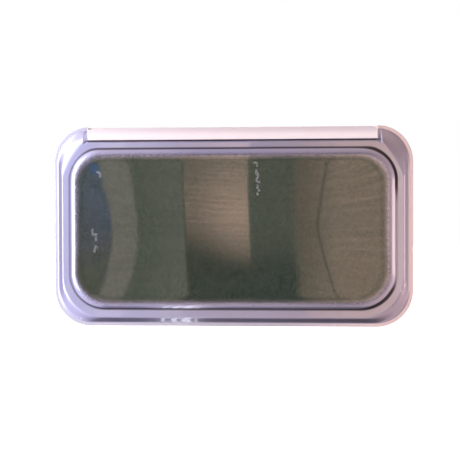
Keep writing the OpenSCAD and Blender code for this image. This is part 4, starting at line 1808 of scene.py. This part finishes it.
@dataclass
class Catch:
    """Turn catch: base with a tower, tongue, tapered handle and push button."""

    x: float = 240
    z: float = -416.75
    back: float = -11
    length: float = 62
    width: float = 24
    thick: float = 6
    tower_r: float = 9
    tower_h: float = 14
    tongue_t: float = 3
    tongue_reach: float = 32
    tongue_w: float = 14
    handle_t: float = 8
    handle_l: float = 46
    hub_r: float = 12.5
    tip_r: float = 8
    button_r: float = 6
    button_h: float = 1.5
    seat: float = 3
    seat_gap: float = 0.15
    fillet: float = 1.6
    plate_edge: float = 1.1
    tongue_edge: float = 0.35
    handle_foot: float = 0.8
    handle_edge: float = 2.2
    screw_r: float = 3.4
    screw_x: float = 21.5

    def placed(self, shell: Shell, y: float) -> Shell:
        """Shell that was drawn with its Z towards the inside, moved to the catch."""
        return laid(shell, "xzy").moved(self.x, y, self.z)

    def base(self) -> Shell:
        """Round-ended base with soft edges, and a tower with a filleted foot.

        Returns:
            The base's shell.
        """
        r = self.width / 2
        ends = even(np.concatenate([
            arc((self.length / 2 - r, 0), r, -90, 90, 40),
            arc((r - self.length / 2, 0), r, 90, 270, 40),
        ]), 120)
        tower, top = self.tower_r, self.thick + self.tower_h
        out, up = quarter(self.fillet, 7)
        radii = np.concatenate([[tower + self.fillet], tower + out, [tower, tower - 0.4]])
        heights = np.concatenate([[self.thick - 1], self.thick + up, [top - 0.4, top]])
        plate = soft_plate(ends, 0, self.thick, self.plate_edge)
        return joined(self.placed(plate, self.back),
                      self.placed(turned(radii, heights, 64), self.back))

    def base_screws(self) -> Shell:
        """Heads of the two screws that hold the base."""
        y, d = self.back + self.thick, self.screw_x
        return joined(*(flat_screw(self.screw_r, (self.x + k * d, y, self.z)) for k in (-1, 1)))

    def tongue(self) -> Shell:
        """Stamped steel tongue that reaches down behind the frame.

        Returns:
            The tongue's shell.
        """
        w = self.tongue_w / 2
        reach = math.degrees(math.acos(w / self.tower_r))
        outline = even(np.concatenate([
            arc((0, 0), self.tower_r, -reach, 180 + reach, 48),
            arc((0, w - self.tongue_reach), w, 180, 360, 32),
        ]), 140)
        y = self.back + self.thick + self.tower_h
        return self.placed(soft_plate(outline, 0, self.tongue_t, self.tongue_edge), y)

    def handle(self) -> Shell:
        """Tapered handle that points to the window's middle, its seat cut for the button.

        Its loops go up the sides, in to the seat's rim and down into the seat.

        Returns:
            The handle's shell.
        """
        outline = two_circles(self.handle_l, self.hub_r, self.tip_r, 160) * np.array([-1, 1])
        low_in, low_up = quarter(self.handle_foot, 7)
        top_in, top_up = (v[::-1] for v in quarter(self.handle_edge, 7))
        sides = inset(outline[::-1], np.concatenate([low_in, top_in]))
        rim, top = self.button_r + self.seat_gap, self.handle_t
        angle = np.arctan2(sides[-1][:, 1], sides[-1][:, 0])

        def ring(r: float) -> Array:
            """Circle of the radius r, with a point for each of the sides' points."""
            return np.stack([r * np.cos(angle), r * np.sin(angle)], axis=-1)

        near = [mix(sides[-1], ring(rim + 1.0), t) for t in (0.3, 0.6, 0.85, 1)]
        well = [ring(rim + 0.25), ring(rim), ring(rim), ring(0.5)]
        loops = np.concatenate([sides, near, well])
        heights = np.concatenate([low_up, top - top_up, np.full(4, top), [
            top, top - 0.3, top - self.seat, top - self.seat]])
        y = self.back + self.thick + self.tower_h + self.tongue_t
        return self.placed(loops_shell(raised(loops, heights)), y)

    def button(self) -> Shell:
        """Push button with a rounded edge and a shallow dish in its end.

        Returns:
            The button's shell.
        """
        r, h = self.button_r, self.seat + self.button_h
        radii = [r - 0.2, r, r, r - 0.12, r - 0.4, r - 0.9, r - 1.6, r - 2.6, r - 4, 0.8]
        heights = [0, 0.2, h - 0.9, h - 0.4, h - 0.1, h, h - 0.05, h - 0.25, h - 0.4, h - 0.45]
        y = self.back + self.thick + self.tower_h + self.tongue_t + self.handle_t - self.seat
        return self.placed(turned(radii, heights, 56), y)

    def build(self) -> None:
        """Adds both catches, the left one as the mirror image of the right one."""
        for side in Side:
            node = f"catch_{side.word}_"
            for part, shell, finish, slot in (
                ("base", self.base(), Finish.PLASTIC, "grey_plastic"),
                ("tongue", self.tongue(), Finish.STEEL, "steel"),
                ("handle", self.handle(), Finish.PLASTIC, "grey_plastic"),
                ("button", self.button(), Finish.BUTTON, "button_plastic"),
            ):
                add_piece(f"latch_{part}_{side.word}", shell.on(side), finish, slot, node + part)
            add_piece(f"latch_screws_{side.word}", self.base_screws().on(side), Finish.STEEL,
                      "steel")


# Stage


@dataclass
class Camera:
    """Camera at the photograph's viewing angle: 460 pixels wide, level but for a hair."""

    azimuth: float = 5.547
    elevation: float = 1.342
    distance: float = 3722
    focus_px: float = 1488.5
    target: tuple[float, float, float] = (-4.7, -10, -241.5)
    roll: float = -0.21
    frame_px: int = 460
    sensor: float = 36
    sight: float = 50

    def build(self) -> None:
        """Adds the camera and makes it the scene's."""
        az, el = math.radians(self.azimuth), math.radians(self.elevation)
        away = Vector((math.sin(az) * math.cos(el), -math.cos(az) * math.cos(el), math.sin(el)))
        data = bpy.data.cameras.new("camera")
        data.sensor_width = self.sensor
        data.lens = self.focus_px * self.sensor / self.frame_px
        data.clip_end = self.sight
        camera = linked("camera", data)
        turn = (-away).to_track_quat("-Z", "Y").to_matrix()
        camera.matrix_world = Matrix.Translation(
            Vector(self.target) * MM + away * self.distance * MM
        ) @ (turn @ Matrix.Rotation(math.radians(self.roll), 3, "Z")).to_4x4()
        bpy.context.scene.camera = camera


@dataclass(frozen=True)
class Lamp:
    """Soft lamp: place, width and height in metres, radiance and colour."""

    name: str
    place: tuple[float, float, float]
    size: tuple[float, float]
    glow: float
    colour: Colour
    mirrored: bool = True

    def build(self, aim: Vector) -> None:
        """Adds the lamp. Its power is its radiance times pi times its area.

        Args:
            aim: the point that it is turned to, in metres.
        """
        data = bpy.data.lights.new(self.name, "AREA")
        data.shape = "RECTANGLE"
        data.size, data.size_y = self.size
        data.energy = self.glow * math.pi * self.size[0] * self.size[1]
        data.color = self.colour
        lamp = linked(self.name, data)
        place = Vector(self.place)
        turn = (aim - place).to_track_quat("-Z", "Y").to_matrix()
        lamp.matrix_world = Matrix.Translation(place) @ turn.to_4x4()
        lamp.visible_camera = False
        lamp.visible_glossy = self.mirrored


def plane(name: str, x: Span, y: Span, z: Span) -> bpy.types.Object:
    """Adds a flat four-cornered stage piece.

    Args:
        name: its name.
        x: its two ends along X, in metres.
        y: its near and far edge.
        z: height of its near and of its far edge, or of its foot and head where it stands.

    Returns:
        The new object.
    """
    mesh = bpy.data.meshes.new(name)
    mesh.from_pydata([
        (x[0], y[0], z[0]), (x[1], y[0], z[0]), (x[1], y[1], z[1]), (x[0], y[1], z[1])
    ], [], [(0, 1, 2, 3)])
    piece = linked(name, mesh)
    return piece


def card(name: str, x: Span, y: Span, z: Span, colour: Colour | Maker,
         strength: float | Maker) -> None:
    """Adds a card that only gloss sees.

    Args:
        name: its name.
        x: its two ends along X, in metres.
        y: its near and far edge.
        z: heights of these edges.
        colour: its colour, or what makes it from the card's node tree.
        strength: its brightness, where 1 is white, or what makes it.
    """
    piece = plane(name, x, y, z)
    material = bpy.data.materials.new(name)
    material.use_nodes = True
    g = Nodes(material.node_tree)
    g.close("OutputMaterial", g.glow(
        "Emission", colour(g) if callable(colour) else colour,
        strength(g) if callable(strength) else strength))
    piece.data.materials.append(material)
    piece.visible_camera = False
    piece.visible_diffuse = False
    piece.visible_transmission = False
    piece.visible_shadow = False


class Bow(NamedTuple):
    """Bowed upright line of the room: u = at + bend (v - mid)^2 + skew (v - mid)^3."""

    at: float
    mid: float
    bend: float
    skew: float

    def past(self, u: Field, v: Field) -> Field:
        """Distance to the right of the line."""
        d = v - self.mid
        return u - (d * d * self.bend + self.at + d * d * d * self.skew)


@dataclass
class Room:
    """What the glass mirrors: a dim room, as a card behind the camera.

    The pattern is laid out in units of the picture, u to the right and v downwards. The
    card's place is turned into u and v through the mirror of the domed pane: a card's x is
    x0 + X (flat + dome_x (1 - z^2)), with X and z the place on the pane. The slats are fine
    lines, and each of their two fans has a middle u and a slope.
    """

    y: float = -4.6
    unit: float = 0.00251
    zero_u: float = 233.3
    zero_v: float = 228.5
    card_x: float = -0.4476
    card_z: float = -0.339
    flat: float = 2.243
    dome_x: float = 0.439
    dome_z: float = 2.12
    half_x: float = 0.383
    half_z: float = 0.1745
    spare: float = 1.15
    glow: float = 1.12
    blind: Colour = (1.95, 1.32, 1.02)
    panel: Colour = (0.84, 0.72, 0.66)
    wall: Colour = (1.20, 0.84, 0.63)
    dim: Colour = (0.32, 0.32, 0.26)
    dark: Colour = (0.05, 0.05, 0.05)
    sky: Colour = (0.33, 0.36, 0.66)
    dusk: Colour = (0.17, 0.17, 0.25)
    bag: Colour = (0.15, 0.45, 1.60)
    dusk_grain: Grain = Grain(9, 4, 0.6, (0.42, 0.62))
    dusk_share: float = 0.55
    sky_v: Span = (225, 270)
    bag_at: Spot = (99, 174, 8, 7)
    bag_grain: Grain = Grain(38, 4, 0.7)
    bag_ragged: float = 2.6
    bag_edge: Span = (1.7, 1.3)
    panel_top: float = 187
    panel_left: Bow = Bow(114, 232, -0.0040, 0.7e-5)
    panel_right: Bow = Bow(140, 233, -0.00265, -1.58e-5)
    shade_u: Span = (130, 185)
    seam_u: float = 178
    lean: float = 0.045
    blind_u: float = 251
    blind_bend_v: float = 195
    blind_fade: Span = (190, 240)
    blind_haze: tuple[float, ...] = (160, 205, 0.45, 0)
    blind_foot: Span = (222, 276)
    blind_foot_drop: tuple[float, ...] = (190, 250, 14, 0)
    low_v: Span = (225, 285)
    wall_u: float = 296
    wall_low_shift: float = 4
    wall_fade: Span = (300, 345)
    crack_u: float = 317.7
    crack_v: float = 228
    crack_bend: float = 10
    crack_slopes: Span = (0.23, 0.06)
    line_soft: float = 1.2
    slat_v: float = 240
    slat_wave: float = 9
    slat_waves: Grain = Grain(2.2, 3)
    slat_breaks: Grain = Grain(4, 2, 0.5, (0.35, 0.6))
    streaks: Grain = Grain(1, 3, 0.6)
    streak_span: Span = (0.3, 0.7)
    slat_steps: Span = (5.5, 8.6)
    slat_side: Span = (270, 290)
    slat_fans: tuple[Span, Span] = ((215, -0.0014), (320, 0.0035))
    slat_line: Span = (0.17, 0.03)
    blind_slats: tuple[Span, Span] = ((180, 186), (256, 248))
    wall_slats: Span = (324, 346)
    slat_glow: Span = (0.35, 0.36)
    streak_glow: Span = (0.90, 1.08)

    def mirrored(self, g: Nodes) -> tuple[Field, Field]:
        """Place in the picture where the pane mirrors each place of the card.

        Args:
            g: the card's node tree.

        Returns:
            u and v.
        """
        def fall(value: Field) -> Field:
            """1 minus the square of a value."""
            return 1.0 - value * value

        x, z = g.axis("X") - self.card_x, g.axis("Z") - self.card_z
        rough = x / ((self.flat + 0.8 * self.dome_x) * self.half_x)
        tall = z / (fall(rough) * self.dome_z + self.flat)
        wide = x / (fall(tall / self.half_z) * self.dome_x + self.flat)
        return wide / self.unit + self.zero_u, self.zero_v - tall / self.unit

    def left_half(self, g: Nodes, u: Field, v: Field) -> Field:
        """Colours left of the blind: cool wall, blue spot, pale panel and dim gap.

        Args:
            g: the card's node tree.
            u: place to the right.
            v: place downwards.

        Returns:
            The colour at each place.
        """
        colour = g.blend(g.span(v, *self.sky_v), self.sky, self.dim)
        colour = g.blend(g.noise(self.dusk_grain) * self.dusk_share, colour, self.dusk)
        middle_u, middle_v, reach_u, reach_v = self.bag_at
        across, down = (u - middle_u) / reach_u, (v - middle_v) / reach_v
        ragged = across * across + down * down + g.noise(self.bag_grain) * self.bag_ragged
        colour = g.blend(g.span(ragged, *self.bag_edge), colour, self.bag)
        from_panel = self.panel_left.past(u, g.math("MAXIMUM", v, self.panel_top))
        colour = g.blend(g.span(from_panel, -1, 1.5), colour, self.panel)
        shade = g.blend(g.span(u, *self.shade_u), self.dim, shaded(self.dim, 1.5))
        return g.blend(g.span(self.panel_right.past(u, v), -1.5, 2), colour, shade)

    def line(self, g: Nodes, off: Field, half: float, share: float) -> Field:
        """Share of a dark line with soft sides, at the distance off from its middle."""
        return g.span(abs(off), half, half + self.line_soft, share, 0)

    def pattern(self, g: Nodes) -> Field:
        """Colours of the room over the card.

        Args:
            g: the card's node tree.

        Returns:
            The colour at each place.
        """
        u, v = self.mirrored(g)
        low = g.span(v, *self.low_v)
        past_seam = u - (v * self.lean + self.seam_u)
        warm = g.blend(g.span(u, *self.blind_fade), shaded(self.blind, 0.5), self.blind)
        warm = g.blend(g.span(v, *self.blind_haze), warm, self.dim)
        foot = g.span(v + g.span(u, *self.blind_foot_drop), *self.blind_foot)
        warm = g.blend(foot, warm, self.dark)
        colour = g.blend(g.span(past_seam, -1, 1), self.left_half(g, u, v), warm)
        colour = g.blend(self.line(g, past_seam, 0.4, 0.7), colour, self.dark)
        edge = g.math("MAXIMUM", v - self.blind_bend_v, 0) * self.lean + self.blind_u
        deep = g.blend(low, self.dim, self.dark)
        colour = g.blend(g.span(u - edge, -1, 1), colour, deep)
        right = g.blend(g.span(u, *self.wall_fade), shaded(self.wall, 0.5), self.wall)
        past_wall = u - (low * self.wall_low_shift + self.wall_u)
        colour = g.blend(g.span(past_wall, -4, 6), colour, right)
        d = v - self.crack_v
        arm = g.math("SQRT", d * d + self.crack_bend**2)
        spread, lean = self.crack_slopes
        past_crack = u - (arm * spread + d * lean + self.crack_u)
        return g.blend(self.line(g, past_crack, 0.6, 0.65), colour, self.dark)

    def slats(self, g: Nodes) -> Field:
        """Brightness, with the fine lines of the blind and the wall.

        The lines fan out to the left on the blind and to the right on the wall.

        Args:
            g: the card's node tree.

        Returns:
            The brightness at each place.
        """
        u, v = self.mirrored(g)
        right = g.span(u, *self.slat_side)
        fan = g.span(right, 0, 1, *((u - middle) * slope for middle, slope in self.slat_fans))
        row = (v - self.slat_v) / (fan + 1.0) + g.noise(self.slat_waves) * self.slat_wave
        saw = g.math("FRACT", row / g.span(right, 0, 1, *self.slat_steps))
        start, end = (g.span(u, *places) for places in self.blind_slats)
        on_blind, on_wall = self.slat_glow
        glow = start * end * on_blind + g.span(u, *self.wall_slats) * on_wall
        line = g.span(abs(saw - 0.5), *self.slat_line) * glow
        line = line * (g.noise(self.slat_breaks) * 0.7 + 0.3)
        streaks = g.noise(self.streaks, g.stretched((2, 1, 30)))
        return (g.span(streaks, *self.streak_span, *self.streak_glow) + line) * self.glow

    def build(self) -> None:
        """Adds the card, a little larger than the clear field mirrors."""
        x = self.half_x * self.spare * (self.flat + self.dome_x)
        z = self.half_z * self.spare * (self.flat + self.dome_z)
        card("room_card", (self.card_x - x, self.card_x + x), (self.y, self.y),
             (self.card_z - z, self.card_z + z), self.pattern, self.slats)


@dataclass
class Studio:
    """Plain studio: pale floor, white surround, soft lamps and cards that gloss mirrors.

    The surround that gloss sees has rows of colours, listed from below to above, each with
    a left, a middle and a right colour. The spans are places on the sphere of directions.
    """

    floor_z: float = -0.70
    floor_reach: float = 12
    floor_colours: tuple[Colour, Colour] = ((0.84, 0.84, 0.85), (0.82, 0.82, 0.83))
    floor_cloud: Grain = Grain(0.5, 2)
    floor_fade: Span = (0.7, 3.0)
    floor_glow: Span = (0.20, 1.0)
    white: Colour = (1.0, 1.0, 1.0)
    aim: tuple[float, float, float] = (0, 0, -0.23)
    lamps: tuple[Lamp, ...] = (
        Lamp("key_lamp", (-1.9, -1.9, 0.0), (1.1, 2.3), 3.6, (0.86, 0.90, 1.0)),
        Lamp("fill_lamp", (2.0, -1.9, -0.33), (1.5, 0.6), 1.9, (1.0, 0.78, 0.68)),
        Lamp("warm_lamp", (2.0, -1.9, 0.7), (1.3, 1.2), 2.6, (1.0, 0.80, 0.74), False),
        Lamp("top_lamp", (0.0, 0.1, 1.5), (1.8, 0.9), 2.5, (1.0, 0.98, 1.0), False),
        Lamp("bounce_lamp", (-0.3, -1.5, -0.60), (2.4, 0.15), 6.0, (1.0, 0.96, 0.98), False),
        Lamp("corner_lamp", (-0.62, -0.40, 0.22), (0.25, 0.25), 12.0, (0.98, 1.0, 1.0), False),
        Lamp("back_lamp", (0.4, 2.4, 1.5), (2.0, 1.4), 3.0, (1.0, 1.0, 1.0)),
    )
    soft: Colour = (0.50, 0.48, 0.50)
    soft_share: float = 1.1
    rows: tuple[tuple[Colour, Colour, Colour], ...] = (
        ((0.75, 0.70, 0.90), (0.025, 0.02, 0.03), (0.45, 0.33, 0.32)),
        ((1.00, 0.93, 1.15), (0.52, 0.47, 0.55), (0.80, 0.58, 0.57)),
        ((0.74, 0.69, 0.95), (0.42, 0.38, 0.45), (0.95, 0.67, 0.58)),
        ((0.62, 0.59, 0.80), (0.13, 0.12, 0.17), (0.34, 0.25, 0.24)),
        ((1.05, 0.98, 1.10), (0.50, 0.41, 0.45), (0.62, 0.44, 0.39)),
    )
    row_spans: tuple[Span, ...] = ((-0.87, -0.6), (-0.42, -0.18), (-0.10, 0.12), (0.3, 0.6))
    row_sides: tuple[Span, ...] = (
        (-0.15, 0.15), (-0.10, -0.06), (-0.28, 0.24), (-0.26, 0.1), (-0.12, -0.06))
    side_reach: float = 0.3
    far_span: Span = (0.78, 0.92)
    far_share: float = 0.72
    side_z: Span = (-1.8, 1.4)
    cool_x: Span = (-5.0, -1.65)
    cool: Colour = (0.68, 0.74, 1.05)
    cool_glow: float = 1.1
    warm_x: Span = (0.85, 4.0)
    warm: Colour = (0.62, 0.40, 0.34)
    warm_glow: float = 0.5
    panes: tuple[tuple[float, float, float], ...] = (
        (-0.207, -0.198, 2.4), (-0.180, -0.166, 2.4), (-0.152, -0.129, 2.4),
        (-0.118, -0.111, 1.6))
    pane_y: Span = (-0.30, 0.02)
    pane_rise: float = 0.04
    pane_colour: Colour = (1.0, 0.98, 1.0)

    def surround(self) -> None:
        """White world for the camera and for glass, and a dim room for all other light."""
        world = bpy.data.worlds.new("surround")
        world.use_nodes = True
        bpy.context.scene.world = world
        g = Nodes(world.node_tree)
        way = g.made("TexCoord", {}, "Generated")
        across, up = (g.made("SeparateXYZ", {0: way}, letter) for letter in "XZ")
        camera, glass, gloss = (g.made("LightPath", {}, f"Is {kind} Ray") for kind in (
            "Camera", "Transmission", "Glossy"))
        rows = []
        for (left, middle, right), (low, high) in zip(self.rows, self.row_sides):
            row = g.blend(g.span(across, low, low - self.side_reach), middle, left)
            rows.append(g.blend(g.span(across, high, high + self.side_reach), row, right))
        room = g.blend(gloss, self.soft, rows[0])
        for (low, high), row in zip(self.row_spans, rows[1:]):
            room = g.blend(g.span(up, low, high), room, row)
        far = g.span(abs(across), *self.far_span, 1, self.far_share)
        dim = g.glow("Background", room, g.span(gloss, 0, 1, self.soft_share, far))
        white = g.glow("Background", self.white, 1.0)
        g.close("OutputWorld", g.made("MixShader", {
            0: g.math("MAXIMUM", camera, glass), 1: dim, 2: white,
        }))

    def floor(self) -> None:
        """Pale floor that keeps the window's shadow and turns white far away."""
        across, z = (-self.floor_reach, self.floor_reach), (self.floor_z, self.floor_z)
        piece = plane("floor", across, across, z)
        g = Graph("pale_floor")
        away = g.made("VectorMath", {0: g.place()}, "Value", operation="LENGTH")
        piece.data.materials.append(g.surface(
            Base_Color=g.blend(g.noise(self.floor_cloud), *self.floor_colours),
            Roughness=0.9,
            Emission_Color=self.white,
            Emission_Strength=g.span(away, *self.floor_fade, *self.floor_glow),
        ))
        piece.visible_glossy = False

    def build(self) -> None:
        """Adds the surround, the floor, the lamps and the cards."""
        bpy.context.scene.view_settings.view_transform = "Standard"
        self.surround()
        self.floor()
        for lamp in self.lamps:
            lamp.build(Vector(self.aim))
        Room().build()
        y, z = (Room.y, Room.y), self.floor_z + self.pane_rise
        card("cool_card", self.cool_x, y, self.side_z, self.cool, self.cool_glow)
        card("warm_card", self.warm_x, y, self.side_z, self.warm, self.warm_glow)
        for k, (left, right, glow) in enumerate(self.panes):
            card(f"window_card_{k}", (left, right), self.pane_y, (z, z), self.pane_colour, glow)


def main() -> None:
    """Builds the window's sub-assemblies in order, then the stage."""
    logging.basicConfig(level=logging.INFO, format="%(name)s: %(message)s")
    OuterPane().build()
    HingeRail().build()
    InnerPane().build()
    Seal().build()
    Stay().build()
    Catch().build()
    Camera().build()
    Studio().build()


if __name__ == "__main__":
    main()
